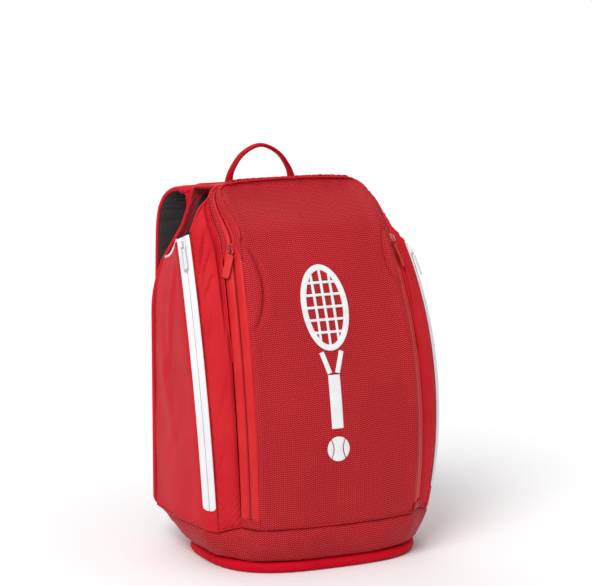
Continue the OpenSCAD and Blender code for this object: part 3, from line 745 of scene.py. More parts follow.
def rear_side_face(s, t, mouth):
    s, t = np.broadcast_arrays(np.asarray(s, float), np.asarray(t, float))
    z = mix(SEAM_BACK + 0.002, SHOULDER_Z, t)
    back = np.stack([back_edge_x(z), np.full_like(z, BACK_Y - 0.004), z], -1)
    hump = np.sin(np.pi * s)
    return mix(racket_edge(t, 1, mouth), back, s[..., None]) + np.stack(
        [0.005 * hump * (1 - t), 0 * hump, -0.006 * hump * t ** 10], -1)


# ---------------------------------------------------------------- front panel
def dart(grid, reach, low, high, from_right=False):
    """Arched crease beside the zip: the cloth between it and the edge swells over the zip."""
    u, _ = arc_lengths(grid)
    inset = u[:, -1:] - u if from_right else u - u[:, :1]
    k = (grid[..., 2] - low) / (high - low)
    arch = np.sqrt(np.clip(np.sin(np.pi * np.clip(k, 0, 1)), 0, 1))
    d = inset - reach * arch
    return arch * (0.0026 * np.exp(-((d + 0.007) / 0.006) ** 2) - 0.0034 * np.exp(-(d / 0.0020) ** 2)
                   + 0.0012 * np.exp(-((d - 0.010) / 0.007) ** 2))


cols, rows = 190, 200
s, t = 2 * eased(cols)[None] - 1, eased(rows)[:, None]
face = front_face(s, t)
ripple = (np.sin(2 * np.pi * face[..., 0] / 0.031 + 0.7) + 0.7 * np.sin(2 * np.pi * face[..., 0] / 0.019))
u_face, _ = arc_lengths(face)
puff = (0.0010 * np.exp(-((u_face - u_face[:, :1] - 0.007) / 0.006) ** 2)
        + 0.0030 * np.exp(-((u_face[:, -1:] - u_face - 0.006) / 0.008) ** 2))
face_relief = (seam_dip(face, 0.0012, 0.0026, pucker=0.0002)
               + puff * smooth((1 - t) / 0.09) * smooth(t / 0.05) + undulation(face, 0.10, 0.0020)
               + dart(face, 0.022, 0.292, 0.394)
               + dart(face, 0.012, 0.335, 0.402, True)
               + 0.0005 * ripple * np.exp(-((1 - t) / 0.06) ** 2) * smooth((1 - t) / 0.02)
               + 0.0005 * np.sin(2 * np.pi * face[..., 0] / 0.045 + 1) * np.exp(-(t / 0.05) ** 2))
shell("front_panel_skin", pushed(face, face_relief), WALL, DOBBY, lining=LINING,
      slot="textured_fabric", nodes=["front_panel"])

# Piping along the panel's rim, round both top corners
rim_t = np.linspace(0.79, 1, 30)
right_rim = front_edge(rim_t)
rim_path = np.vstack([right_rim, front_face(np.linspace(0.97, -0.97, 60), 1.0), mirrored(right_rim)[::-1]])
rim_path, _ = resampled(rim_path + [0, 0.0006, 0.0009], 0.004)
tube("rim_piping", rim_path, 0.0013, 0.0013, (0, 0.3, 1), BINDING, count=12,
     slot="red_tape", nodes=["front_binding"])

# ---------------------------------------------------------------- emblem
EMBLEM_X = -0.007
HEAD_H, HEAD_HALF = 0.258, (0.027, 0.048)
BAR_W, BALL_H = 0.007, 0.092
FACE_LEN = FRONT_R * (front_turns[1] - front_turns[0]) / SPLIT


def on_face(p, out):
    """Place on the front panel, from distance across and up its face."""
    t = p[..., 1] / FACE_LEN
    s, d = p[..., 0] / front_edge(t)[..., 0], 0.01
    across = front_face(s + d, t) - front_face(s - d, t)
    up = front_face(s, t + d) - front_face(s, t - d)
    return front_face(s, t) + np.asarray(out)[..., None] * unit(np.cross(across, up))


def print_area(left, right, rise=0.0, closed=False):
    """Raised print between two lines on the panel's flat coordinates, with rounded edges."""
    left, right = np.asarray(left, float), np.asarray(right, float)
    k = np.array([1, 0.97, 0.9, 0.5, 0, -0.5, -0.9, -0.97, -1])
    high = 0.0009 + rise + 0.0005 * np.sqrt(np.clip(1 - abs(k) ** 8, 0, 1))
    flat = mix(right[None], left[None], (k[:, None, None] + 1) / 2)
    outer = on_face(flat, np.broadcast_to(high[:, None], flat.shape[:2]))
    inner = on_face(flat, np.full(flat.shape[:2], -0.0014))
    points, faces = shell_mesh(outer, inner, closed)
    return points, faces.tolist(), np.concatenate([flat.reshape(-1, 2)] * 2)


def print_ribbon(path, width, rise=0.0, closed=False):
    path = np.asarray(path, float)
    ahead = unit(np.roll(path, -1, 0) - np.roll(path, 1, 0) if closed else np.gradient(path, axis=0))
    side = np.stack([-ahead[:, 1], ahead[:, 0]], -1) * width / 2
    return print_area(path + side, path - side, rise, closed)


def bar(start, end, width, rise=0.0):
    start, end = np.asarray(start, float), np.asarray(end, float)
    return print_ribbon(mix(start, end, np.linspace(0, 1, 20)[:, None]), width, rise)


def oval_path(centre, half_w, half_h, count=96):
    a = np.linspace(0, -2 * np.pi, count, endpoint=False)
    return np.stack([centre[0] + half_w * np.cos(a), centre[1] + half_h * np.sin(a)], -1)


prints = [print_ribbon(oval_path((EMBLEM_X, HEAD_H), *HEAD_HALF), BAR_W, 0.0002, closed=True)]
STRINGS, UPRIGHTS, STRING_W = 5, 3, 0.0030
inner_w, inner_h = HEAD_HALF[0] - BAR_W / 2, HEAD_HALF[1] - BAR_W / 2
for k in range(1, STRINGS + 1):
    up = mix(-1, 1, k / (STRINGS + 1))
    reach = inner_w * math.sqrt(1 - up * up) + 0.0004
    h = HEAD_H + up * inner_h
    prints.append(bar((EMBLEM_X - reach, h), (EMBLEM_X + reach, h), STRING_W))
for k in range(1, UPRIGHTS + 1):
    over = mix(-1, 1, k / (UPRIGHTS + 1))
    reach = inner_h * math.sqrt(1 - over * over) + 0.0004
    x = EMBLEM_X + over * inner_w
    prints.append(bar((x, HEAD_H - reach), (x, HEAD_H + reach), STRING_W, -0.0001))
foot = HEAD_H - HEAD_HALF[1] - BAR_W / 2
for sx in (-1, 1):
    prints.append(bar((EMBLEM_X + sx * 0.013, foot - 0.001), (EMBLEM_X + sx * 0.005, foot - 0.026), 0.006))
prints.append(bar((EMBLEM_X, foot - 0.028), (EMBLEM_X, 0.116), 0.015))

# The ball is a middle and two sides, parted by its seam
BALL_R, SEAM_IN, SEAM_GAP = 0.0145, 0.0055, 0.0014
h = BALL_R * np.sin(np.linspace(-1.5, 1.5, 40))
edge = np.sqrt(BALL_R ** 2 - h ** 2)
seam = SEAM_IN + 0.42 * (1 - np.cos(1.35 * h / BALL_R)) * BALL_R


def ball_area(low, high):
    low, high = np.minimum(low, edge), np.minimum(high, edge)
    on = high - low > 0.0004
    return [np.stack([EMBLEM_X + x[on], BALL_H + h[on]], -1) for x in (low, high)]


inside = np.minimum(seam, edge)
prints.append(print_area(*[np.stack([EMBLEM_X + x, BALL_H + h], -1) for x in (-inside, inside)]))
low, high = ball_area(seam + SEAM_GAP, edge)
prints.append(print_area(low, high))
prints.append(print_area(high * [-1, 1] + [2 * EMBLEM_X, 0], low * [-1, 1] + [2 * EMBLEM_X, 0]))
points, faces, cloth = merged(prints)
outward(piece("racket_print", points, faces, PRINT, slot="white_print", nodes=["front_emblem"], weave=cloth))

# ---------------------------------------------------------------- front zips
LIP_HALF = 0.0005      # half of the slit that shows the teeth


def lip_profile(steps=14):
    """Across one tape from its sewn edge (0) to the slit (1), and its height in metres."""
    w = eased(steps, 0.8)
    hump = 0.0013 * np.sin(np.pi * np.clip(w, 0, 1) ** 0.8) ** 0.55 - 0.0003
    return w, hump - 0.0012 * smooth((w - 0.86) / 0.14) - 0.0008 * (1 - smooth(w / 0.1))


def zip_frame(t):
    """Middle of the zip at t, the directions across it and out of it, and its half width."""
    a, b = front_edge(t), strip_edge(t)
    across, middle = unit(b - a), (a + b) / 2
    out = unit(np.cross(across, unit(np.gradient(middle, axis=0))))
    return middle, across, out, np.linalg.norm(b - a, axis=-1) / 2 - GAP


def laid(t, place, rise):
    """Grid of points at given places across the zip and heights above it, for rows at t."""
    middle, across, out, _ = zip_frame(t)
    return middle[:, None] + place[..., None] * across[:, None] + rise[..., None] * out[:, None]


def zip_lips(t):
    """Two grids of tape beside the slit, for rows at t on the right side."""
    half = zip_frame(t)[3]
    w, high = lip_profile()
    high = high[None] * (half / front_zip.half)[:, None]
    return [laid(t, mix(-half[:, None], -LIP_HALF, w[None]), high),
            laid(t, mix(LIP_HALF, half[:, None], 1 - w[None, ::-1]), high[:, ::-1])]


STRIP_FROM = 0.735


def lip_margin(sign, pucker):
    """Textured cloth laid over a lip's outer part, from a little below the closed slider to the top."""
    t = np.linspace(STRIP_FROM, 0.992, 90)
    half = zip_frame(t)[3][:, None]
    k = eased(14)[None]
    inner = half - (half - 0.42 * half) * smooth((t - STRIP_FROM) / 0.07)[:, None]
    place = mix(half + 0.0002, inner - 0.0002, k)
    run = (t[:, None] - STRIP_FROM) * FACE_LEN
    rise = (0.0011 + 0.0013 * np.sin(np.pi * np.clip(k, 0.02, 0.98)) ** 0.5
            + pucker * np.sin(2 * np.pi * run / 0.0075 + 0.8 * k) * np.sin(np.pi * k))
    if sign > 0:
        place, rise = place[:, ::-1], rise[:, ::-1]
    return laid(t, sign * place, rise)


def zip_t(z):
    """Share of the panel's height at which the front zip's arc reaches z."""
    return SPLIT * (front_zip.turn(z) - front_turns[0]) / (front_turns[1] - front_turns[0])


def rounded_mesh(name, parts, material, **where):
    points, faces, cloth = merged(parts)
    return piece(name, points, faces, material, weave=cloth, **where)


def shell_part(outer, thick):
    points, faces = shell_mesh(outer, pushed(outer, -thick))
    return points, faces.tolist(), cloth_of(outer)


def zip_teeth(arc, low, high, side, pitch=0.0015, width=0.0042, sink=0.0014):
    """Coil of a zip: one small rounded tooth after another across the slit."""
    turns = arc.turn([low, high])
    count = int((turns[1] - turns[0]) * arc.radius / pitch)
    section = round_section(0.00048, 0.00042, 6)
    parts = []
    for k, turn in enumerate(np.linspace(turns[0], turns[1], count)):
        lean = 0.0003 * (-1) ** k
        track = np.array([arc.point(turn, a, -sink - 0.0004 * abs(a / width)) + lean * a / width
                          * arc.tangent(turn) for a in (-width / 2, 0, width / 2)])
        if side == "left":
            track = mirrored(track)
        parts.append(sweep(track, section, (0, 0.2, 1), round_ends=False))
    return merged(parts)


tape_t = np.concatenate([np.linspace(zip_t(FRONT_ENDS[0]), SPLIT, 80), np.linspace(SPLIT, 1, 30)[1:]])
tab_t = np.linspace(0.003, zip_t(FRONT_ENDS[0]) + 0.006, 10)
for side in SIDES:
    lips = [shell_part(on_side(g, side), 0.0009) for g in zip_lips(tape_t)]
    rounded_mesh(f"front_zip_bands_{side}", lips, RED_BAND, slot="red_tape",
                 nodes=[f"front_zip_tape_{side}", f"front_zip_top_{side}"])
    points, faces, cloth = zip_teeth(front_zip, FRONT_ENDS[0], 0.384, side)
    outward(piece(f"front_zip_teeth_{side}", points, faces, RED_COIL, slot="red_tape",
                  nodes=[f"front_zip_coil_{side}"], weave=cloth))
    a, b = front_edge(tab_t), strip_edge(tab_t)
    k = eased(20)[None, :, None]
    tab = mix(a[:, None], b[:, None], k)
    tab = pushed(tab, 0.0015 - 0.0022 * (2 * k[..., 0] - 1) ** 6 + 0.0006 * smooth((tab_t[:, None] - 0.01) / 0.012))
    tab = on_side(tab, side)
    shell(f"front_zip_end_{side}", tab, 0.0012, DOBBY, slot="textured_fabric", nodes=[f"front_zip_tab_{side}"])

# ---------------------------------------------------------------- welts beside the zip's top
WELT_FROM = 0.46


def welt(mouth):
    """Smooth rounded welt along the side panel's front margin."""
    t = np.linspace(WELT_FROM, 0.985, 80)[:, None]
    k = eased(12)[None]
    s = 0.006 + 0.052 * smooth((t - WELT_FROM) / 0.12) * k
    rise = 0.0004 + 0.0026 * np.sin(np.pi * np.clip(k, 0.02, 0.98)) ** 0.5 + 0 * t
    return pushed(side_front_face(s, t, mouth), rise)


# ---------------------------------------------------------------- side panels
PANEL_W, PANEL_H = 0.085, 0.36
REAR_W, REAR_H = 0.17, 0.32
# Creases as start, end, depth and width
SIDE_FOLDS = (((0.016, 0.37), (0.009, 0.200), 0.0050, 0.0036), ((0.026, 0.330), (0.076, 0.300), 0.0030, 0.0026),
              ((0.022, 0.304), (0.066, 0.284), 0.0022, 0.0024), ((0.022, 0.270), (0.070, 0.262), 0.0020, 0.0026),
              ((0.040, 0.236), (0.076, 0.205), 0.0014, 0.0040), ((0.030, 0.090), (0.080, 0.060), 0.0010, 0.0060),
              ((0.010, 0.150), (0.060, 0.120), 0.0008, 0.0070))
REAR_FOLDS = (((0.030, 0.300), (0.110, 0.150), 0.0020, 0.0090), ((0.120, 0.250), (0.060, 0.080), 0.0016, 0.0120),
              ((0.040, 0.120), (0.120, 0.060), 0.0012, 0.0090))
for side in SIDES:
    mouth = MOUTH[side]
    s, t = eased(60)[None], eased(130)[:, None]
    grid = side_front_face(s, t, mouth)
    x, y = s * PANEL_W, t * PANEL_H
    relief = (seam_dip(grid, 0.0020, 0.0036, edges="lrb", pucker=0.0005) + undulation(grid, 0.07, 0.0011)
              + sum(fold(x, y, *crease) for crease in SIDE_FOLDS))
    shell(f"side_front_skin_{side}", on_side(pushed(grid, relief), side), WALL, TWILL, lining=LINING,
          slot="smooth_fabric", nodes=[f"side_front_panel_{side}"])
    shell(f"zip_welt_{side}", on_side(welt(mouth), side), 0.0010, RED_BAND, slot="red_tape")
    shell(f"zip_strip_{side}", on_side(lip_margin(1, 0.0004), side), 0.0008, DOBBY, slot="textured_fabric")
    shell(f"panel_margin_{side}", on_side(lip_margin(-1, 0.0001), side), 0.0008, DOBBY, slot="textured_fabric")

    s, t = eased(70)[None], eased(120)[:, None]
    grid = rear_side_face(s, t, mouth)
    x, y = s * REAR_W, t * REAR_H
    relief = (seam_dip(grid, 0.0018, 0.0036, edges="lrb", pucker=0.0005) + undulation(grid, 0.10, 0.0024)
              + sum(fold(x, y, *crease) for crease in REAR_FOLDS))
    shell(f"rear_side_skin_{side}", on_side(pushed(grid, relief), side), WALL, TWILL, lining=LINING,
          slot="smooth_fabric", nodes=[f"rear_side_panel_{side}"])

# ---------------------------------------------------------------- racket zips
WHITE_SLIT = 0.0002


def white_bands(side):
    """Two flat bands whose joint outline is rounded at the foot."""
    turns = racket_zip.turn([RACKET_ENDS[side][0] - 0.003, RACKET_ENDS[side][1]])
    length = (turns[1] - turns[0]) * RACKET_R
    run = np.concatenate([0.008 * (1 - np.cos(np.linspace(0, np.pi / 2, 14))), np.linspace(0.008, length, 90)[1:]])
    turn = (turns[0] + run / RACKET_R)[:, None]
    corner = 0.0055
    inset = corner - np.sqrt(np.clip(corner ** 2 - np.clip(corner - run, 0, corner) ** 2, 0, None))
    half = (racket_zip.half - inset)[:, None]
    w = eased(10, 0.8)[None]
    high = (0.0011 + 0.0005 * np.sin(np.pi * w) ** 0.5 - 0.0004 * smooth((w - 0.9) / 0.1)
            - 0.0006 * (1 - smooth(w / 0.08)))
    parts = []
    for sign in (-1, 1):
        place = sign * mix(half, WHITE_SLIT, w)
        rise = np.broadcast_to(high, place.shape)
        if sign > 0:
            place, rise = place[:, ::-1], rise[:, ::-1]
        parts.append(shell_part(on_side(racket_zip.point(turn, place, rise), side), 0.0009))
    return parts


for side in SIDES:
    rounded_mesh(f"racket_zip_bands_{side}", white_bands(side), WHITE_BAND, slot="white_tape",
                 nodes=[f"racket_zip_tape_{side}"])
    low, high = RACKET_ENDS[side]
    points, faces, cloth = zip_teeth(racket_zip, low + 0.002, high - 0.011, side, sink=0.0007)
    outward(piece(f"racket_zip_teeth_{side}", points, faces, WHITE_COIL, slot="white_tape",
                  nodes=[f"racket_zip_coil_{side}"], weave=cloth))
    t = np.linspace(-0.003, 0.985, 90)[:, None]
    k = eased(16)[None]
    front, back = racket_edge(t, -1, MOUTH[side]), racket_edge(t, 1, MOUTH[side])
    bed = pushed(mix(front, back, k[..., None]), 0.0002 - 0.0012 * (2 * k - 1) ** 8 + 0 * t)
    shell(f"racket_zip_bed_{side}", on_side(bed, side), 0.0010, TWILL, slot="smooth_fabric",
          nodes=[f"racket_zip_tab_{side}"])

# ---------------------------------------------------------------- mouths
for side in SIDES:
    mouth = MOUTH[side]
    k = np.linspace(0.01, 0.99, 40)
    trim = rear_side_face(k, 1.0, mouth) + [-0.0012, 0, 0.0016]
    trim = trim if side == "right" else mirrored(trim)
    tube(f"mouth_piping_{side}", trim, 0.0016, 0.0021, (0, 0, 1), WHITE_BAND, slot="white_tape",
         nodes=[f"mouth_trim_{side}"])
    k = np.linspace(0.97, 0.0, 48)
    rim = side_front_face(k, 1.0, mouth)
    along = unit(side_front_face(k + 0.01, 1.0, mouth) - side_front_face(k - 0.01, 1.0, mouth))
    climb = rim - side_front_face(k, 0.99, mouth)
    rise = unit(climb - (climb * along).sum(-1, keepdims=True) * along)
    rim = rim + 0.0012 * rise - WALL / 2 * np.cross(along, rise)
    end = strip_edge(mix(SPLIT, 1, np.linspace(STRIP_SHARE, 0.98, 16)[1:])) + [0, 0.0004, 0.0002]
    rim, _ = resampled(np.vstack([rim, end]), 0.003)
    rim = rim if side == "right" else mirrored(rim)
    tube(f"lip_edge_{side}", rim, 0.0019, 0.0026, (0, 0, 1), BINDING, slot="red_tape",
         nodes=[f"lip_binding_{side}"])


# ---------------------------------------------------------------- top cover and divider
def top_face(s, t):
    s, t = np.broadcast_arrays(np.asarray(s, float), np.asarray(t, float))
    x = s * mix(0.079, TOP_HALF - 0.002, smooth(t))
    z = mix(TOP_Z - 0.002, BACK_TOP - 0.0005, t) + 0.004 * (1 - s * s) * (1 - 0.4 * t)
    return np.stack([x, mix(0.055, BACK_Y - 0.004, t), z], -1)


s, t = 2 * eased(56)[None] - 1, eased(36)[:, None]
tucked = front_face(s, 1.0 + 0 * t) + [0, 0.0018, -0.0016]
grid = mix(top_face(s, t), tucked, smooth((0.16 - t) / 0.16)[..., None])
relief = seam_dip(grid, 0.0012, 0.0034, edges="lrt") + undulation(grid, 0.05, 0.0011)
shell("top_cover_skin", pushed(grid, relief), WALL, TWILL, lining=LINING, slot="smooth_fabric", nodes=["top_cover"])
for sx in (-1, 1):
    edge = top_face(sx, np.linspace(0.02, 0.98, 30))
    tube(f"top_edge_{'left' if sx < 0 else 'right'}", edge + [0, 0, -0.0008], 0.0022, 0.0022, (0, 0, 1), BINDING,
         slot="red_tape")

DIVIDER_HALF = ((0.052, 0.134), (0.120, 0.141), (0.260, 0.141), (0.340, 0.131), (0.392, 0.106), (0.442, 0.080))
divider_turns = racket_zip.turn([0.060, SIDE_TOP])
line = racket_zip.point(mix(divider_turns[0], divider_turns[1], np.linspace(0, 1, 40)), -0.014)
line = np.vstack([line[:, 1:] + [0.002, 0], mix(line[-1, 1:] + [0.002, 0], np.array([0.060, 0.4425]),
                                                np.linspace(0, 1, 8)[1:, None])])
half = np.interp(line[:, 1], *zip(*DIVIDER_HALF))
s = np.linspace(1, -1, 50)[None]
grid = np.stack([s * half[:, None], line[:, None, 0] + WALL + 0 * s, line[:, None, 1] + 0 * s], -1)
shell("divider_lining", pushed(grid, undulation(grid, 0.09, 0.0006)), WALL, LINING, slot="lining_fabric",
      nodes=["divider_panel"])


# ---------------------------------------------------------------- back panel
def back_half(z):
    """Half width of the back: straight, then the shoulder, the slope to the top, and the round corner."""
    corner = 0.012
    shoulders = np.interp(z, [SHOULDER_Z, 0.398, 0.428, BACK_TOP - corner],
                          [SHOULDER_HALF, TOP_HALF + 0.012, TOP_HALF + 0.001, TOP_HALF])
    over = np.clip((z - (BACK_TOP - corner)) / corner, 0, 1)
    foot = np.clip((z - SEAM_BACK - 0.002) / 0.008, 0, 1)
    body = np.where(z < SHOULDER_Z, back_edge_x(z), shoulders)
    return body - corner * (1 - np.sqrt(1 - over ** 2)) - 0.006 * (1 - foot)


def back_outline(low=SEAM_BACK + 0.003):
    z = np.concatenate([np.linspace(low, BACK_TOP - 0.012, 90),
                        BACK_TOP - 0.012 + 0.012 * np.sin(np.linspace(0.1, np.pi / 2, 12))])
    right = np.stack([back_half(z), z], -1)
    top = np.linspace(right[-1], right[-1] * [-1, 1], 30)[1:-1]
    return np.vstack([right, top, (right * [-1, 1])[::-1]])


z = np.concatenate([mix(SEAM_BACK + 0.002, BACK_TOP - 0.012, eased(110, 0.85)),
                    BACK_TOP - 0.012 + 0.0119 * np.sin(np.linspace(0, np.pi / 2, 10))[1:]])[:, None]
s = 1 - 2 * eased(90)[None]
grid = np.stack([s * back_half(z), BACK_Y + 0 * s + 0 * z, z + 0 * s], -1)
relief = seam_dip(grid, 0.0010, 0.004, pucker=0.0003) - 0.0004 + undulation(grid, 0.08, 0.0003)
shell("back_skin", pushed(grid, relief), 0.003, TWILL, lining=LINING, slot="smooth_fabric", nodes=["back_panel"])
outline, _ = resampled(back_outline(), 0.004)
outline = np.stack([outline[:, 0], np.full(len(outline), BACK_Y - 0.0012), outline[:, 1]], -1)
tube("back_piping", outline, 0.0024, 0.0028, (0, 1, 0), BINDING, slot="smooth_fabric")

# ---------------------------------------------------------------- bottom band and base
BASE_HALF, BASE_FRONT, BASE_BACK, BASE_MID = 0.134, 0.116, 0.080, 0.020
BASE_H = 0.014


def oval(half_w, mid_y, front, back, n_front, n_back, count):
    """Plan outline with square-ish round corners, that starts and ends at the middle of the back."""
    a = np.linspace(np.pi / 2, 2.5 * np.pi, count)
    c, s = np.cos(a), np.sin(a)
    n = np.where(s < 0, n_front, n_back)
    return np.stack([half_w * np.sign(c) * abs(c) ** (2 / n),
                     mid_y + np.where(s < 0, front, back) * np.sign(s) * abs(s) ** (2 / n)], -1)


def even(outline, count):
    """The same outline with its points an even distance apart."""
    run = np.concatenate([[0], np.cumsum(np.linalg.norm(np.diff(outline, axis=0), axis=1))])
    at = np.linspace(0, run[-1], count)
    return np.stack([np.interp(at, run, outline[:, k]) for k in range(2)], -1)


AROUND = 420
foot_line = even(oval(BASE_HALF, BASE_MID, BASE_FRONT, BASE_BACK, 3, 2.8, 1200), AROUND)

# The band's upper rim runs along the feet of the back, side and front panels
down, k = np.linspace(1, 0, 40), np.linspace(1, 0, 60)
back_foot = np.stack([np.linspace(0, 0.138, 30), np.full(30, BACK_Y), np.full(30, SEAM_BACK + 0.002)], -1)
right_feet = np.vstack([back_foot, rear_side_face(down, 0.0, MOUTH["left"]),
                        side_front_face(down, 0.0, MOUTH["left"]), front_face(k, 0.0)])
rim = np.vstack([right_feet, mirrored(right_feet)[::-1][1:]])[::-1]
heading = np.unwrap(np.arctan2(foot_line[:, 1] - 0.03, foot_line[:, 0]))
rim_heading = np.unwrap(np.arctan2(rim[:, 1] - 0.03, rim[:, 0]))
rim_heading += 2 * np.pi * round((heading.mean() - rim_heading.mean()) / (2 * np.pi))
order = np.argsort(rim_heading)
rim = np.stack([np.interp(heading, rim_heading[order], rim[order, k]) for k in range(3)], -1)
rim_line, rim_z = rim[:, :2], rim[:, 2]
t = eased(34)[:, None]
plan = mix(foot_line[None], rim_line[None], t[..., None] ** 0.8)
bulge = unit(rim_line - [0, 0.040])[None] * (0.0035 * np.sin(np.pi * t))[..., None]
rise = mix(BASE_H - 0.001, rim_z[None], t)
grid = np.concatenate([plan + bulge, rise[..., None]], -1)
relief = (seam_dip(grid, 0.0022, 0.0034, edges="bt", pucker=0.0003, pitch=0.011) + undulation(grid, 0.06, 0.0012)
          - 0.0012 * np.exp(-((t - 0.86) / 0.10) ** 2) - 0.0016 * np.exp(-((t - 1) / 0.07) ** 2))
shell("bottom_band_skin", pushed(grid, relief), WALL, DOBBY, lining=LINING, slot="textured_fabric",
      nodes=["bottom_band"])
seam_path = np.concatenate([rim_line, rim_z[:, None] + 0.0006], -1)[:-1]
seam_path[:, :2] -= 0.0016 * unit(rim_line - [0, 0.040])[:-1]
tube("band_seam", seam_path, 0.0010, 0.0010, (0, 0, 1), BINDING, count=8, closed=True, slot="smooth_fabric")

ROLL_ROWS = 16
phi = np.linspace(-np.pi / 2, np.pi / 2, ROLL_ROWS)
plan_out = unit(np.stack([np.gradient(foot_line[:, 1]), -np.gradient(foot_line[:, 0])], -1))
ROLL = BASE_H / 2
reach = 0.0028 - ROLL * 1.15 * (1 - np.cos(phi) ** 0.8)
rings = np.concatenate([foot_line[None] + reach[:, None, None] * plan_out[None],
                        np.broadcast_to((ROLL + ROLL * np.sin(phi))[:, None, None],
                                        (ROLL_ROWS, AROUND, 1))], -1)[:, :-1]
rings = rings + np.concatenate([0.0003 * np.sin(np.arange(AROUND - 1) * 0.9)[None, :, None]
                                * np.cos(phi)[:, None, None] * plan_out[None, :-1],
                                np.zeros((ROLL_ROWS, AROUND - 1, 1))], -1)
count = AROUND - 1
at = np.arange(ROLL_ROWS * count).reshape(ROLL_ROWS, count)
walls = np.stack([at[:-1], np.roll(at, -1, 1)[:-1], np.roll(at, -1, 1)[1:], at[1:]], -1).reshape(-1, 4).tolist()
girth = np.cumsum(np.linalg.norm(np.diff(foot_line, axis=0), axis=1))
cloth = np.stack(np.broadcast_arrays(girth[None], ROLL * phi[:, None]), -1).reshape(-1, 2)
outward(piece("base_roll", rings.reshape(-1, 3), walls + [at[0][::-1].tolist(), at[-1].tolist()], BASE_CLOTH,
              slot="smooth_fabric", nodes=["base_pad"], weave=cloth))


# ---------------------------------------------------------------- bevelled plates, for sewn patches
def plate(name, outline, place, thick, bevel, material, **where):
    """Flat patch with softened edges. place(x, y, depth) puts its own coordinates into the frame."""
    bm = bmesh.new()
    ring = [bm.verts.new((x, y, 0)) for x, y in outline]
    face = bm.faces.new(ring)
    lifted = bmesh.ops.extrude_face_region(bm, geom=[face])
    for v in lifted["geom"]:
        if isinstance(v, bmesh.types.BMVert):
            v.co.z = thick
    bmesh.ops.recalc_face_normals(bm, faces=bm.faces)
    rims = [e for e in bm.edges if abs(e.verts[0].co.z - e.verts[1].co.z) < 1e-9]
    bmesh.ops.bevel(bm, geom=rims, offset=bevel, segments=3, profile=0.6, affect="EDGES")
    bm.verts.ensure_lookup_table()
    local = np.array([v.co for v in bm.verts])
    faces = [[v.index for v in f.verts] for f in bm.faces]
    bm.free()
    points = np.array([place(*p) for p in local])
    return outward(piece(name, points, faces, material, weave=local[:, :2], **where))


def soft_rect(width, height, radius, steps=6):
    out = []
    for q in range(4):
        sx, sy = (1 if q in (0, 3) else -1), (1 if q < 2 else -1)
        for a in np.linspace(0, np.pi / 2, steps + 1) + q * np.pi / 2:
            out.append((sx * (width / 2 - radius) + radius * math.cos(a),
                        sy * (height / 2 - radius) + radius * math.sin(a)))
    return out


def on_back(x0, z0, y0):
    return lambda x, y, depth: (x0 + x, y0 + depth, z0 + y)


def stitch_loop(name, outline, place, material, depth, **where):
    """Stitches round a patch, a little inside its edge."""
    path = np.array([place(x, y, depth) for x, y in outline + outline[:1]])
    stitches(name, path, np.broadcast_to([0.0, 1.0, 0.0], path.shape), material, **where)


YOKE = (0.176, 0.038)
plate("strap_yoke_patch", soft_rect(*YOKE, 0.006), on_back(0, 0.405, BACK_Y + 0.0002), 0.0022, 0.0008, TWILL,
      slot="smooth_fabric", nodes=["strap_yoke"])
stitch_loop("strap_yoke_stitch", soft_rect(YOKE[0] - 0.006, YOKE[1] - 0.006, 0.004),
            on_back(0, 0.405, BACK_Y), RED_THREAD, 0.0024, slot="smooth_fabric")
WING = ((0.108, 0.084), (0.118, 0.094), (0.144, 0.082), (0.144, 0.050), (0.132, 0.050))
for side, sx in (("left", -1), ("right", 1)):
    outline = [(sx * x, z) for x, z in WING]
    plate(f"lower_wing_{side}", outline, on_back(0, 0, BACK_Y + 0.0003), 0.0026, 0.0008, TWILL, slot="smooth_fabric",
          nodes=[f"lower_anchor_{side}"])
    middle = np.mean(outline, axis=0)
    inset = [tuple(mix(middle, np.array(p), 0.82)) for p in outline]
    stitch_loop(f"lower_wing_stitch_{side}", inset, on_back(0, 0, BACK_Y), RED_THREAD, 0.0030, slot="smooth_fabric")

# ---------------------------------------------------------------- grab handle
HANDLE_HALF, HANDLE_RISE, HANDLE_Z = 0.043, 0.038, 0.453
HANDLE_AROUND = 20
w, h = HANDLE_HALF, HANDLE_RISE
half_arch = [(w, 0), (w - 0.004, 0.3 * h), (w - 0.015, 0.72 * h), (w - 0.029, 0.98 * h)]
arch = spline(half_arch + [(0, h + 0.003)] + [(-x, z) for x, z in half_arch[::-1]], 8)
arch = np.stack([arch[:, 0], np.full(len(arch), BACK_Y), HANDLE_Z + arch[:, 1]], -1)
feet = np.array([[w + 0.001, BACK_Y + 0.0006, HANDLE_Z - 0.026], [w + 0.0005, BACK_Y + 0.0004, HANDLE_Z - 0.012]])
arch = np.vstack([feet, arch, mirrored(feet)[::-1]])
arch, run = resampled(arch, 0.0022)
spread = np.exp(-(np.minimum(run, run[-1] - run) / 0.026) ** 2)
points, faces, cloth = sweep(arch, round_section(0.0025, 0.0056, HANDLE_AROUND, 2.6), (0, 1, 0), round_ends=False)
rings = points.reshape(len(arch), HANDLE_AROUND, 3)
centre = arch[:, None]
flat = rings - centre
along_y = flat[..., 1:2] * [0, 1, 0]
in_plane = flat - along_y
rings = centre + in_plane * (1 + 2.4 * spread)[:, None, None] + along_y * (1 - 0.72 * spread)[:, None, None]
handle = outward(piece("rolled_handle", rings.reshape(-1, 3), faces, RED_WEB, body=None, slot="red_webbing",
                       nodes=["grab_handle"], weave=cloth))
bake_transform(handle)
for sx, side in ((-1, "left"), (1, "right")):
    plate(f"handle_anchor_{side}", soft_rect(0.024, 0.022, 0.003), on_back(sx * HANDLE_HALF, 0.436, BACK_Y + 0.0002),
          0.0022, 0.0007, RED_WEB, slot="red_webbing", nodes=["handle_anchors"])
    stitch_loop(f"handle_anchor_stitch_{side}", soft_rect(0.020, 0.018, 0.002),
                on_back(sx * HANDLE_HALF, 0.436, BACK_Y), RED_THREAD, 0.0024, slot="red_webbing")

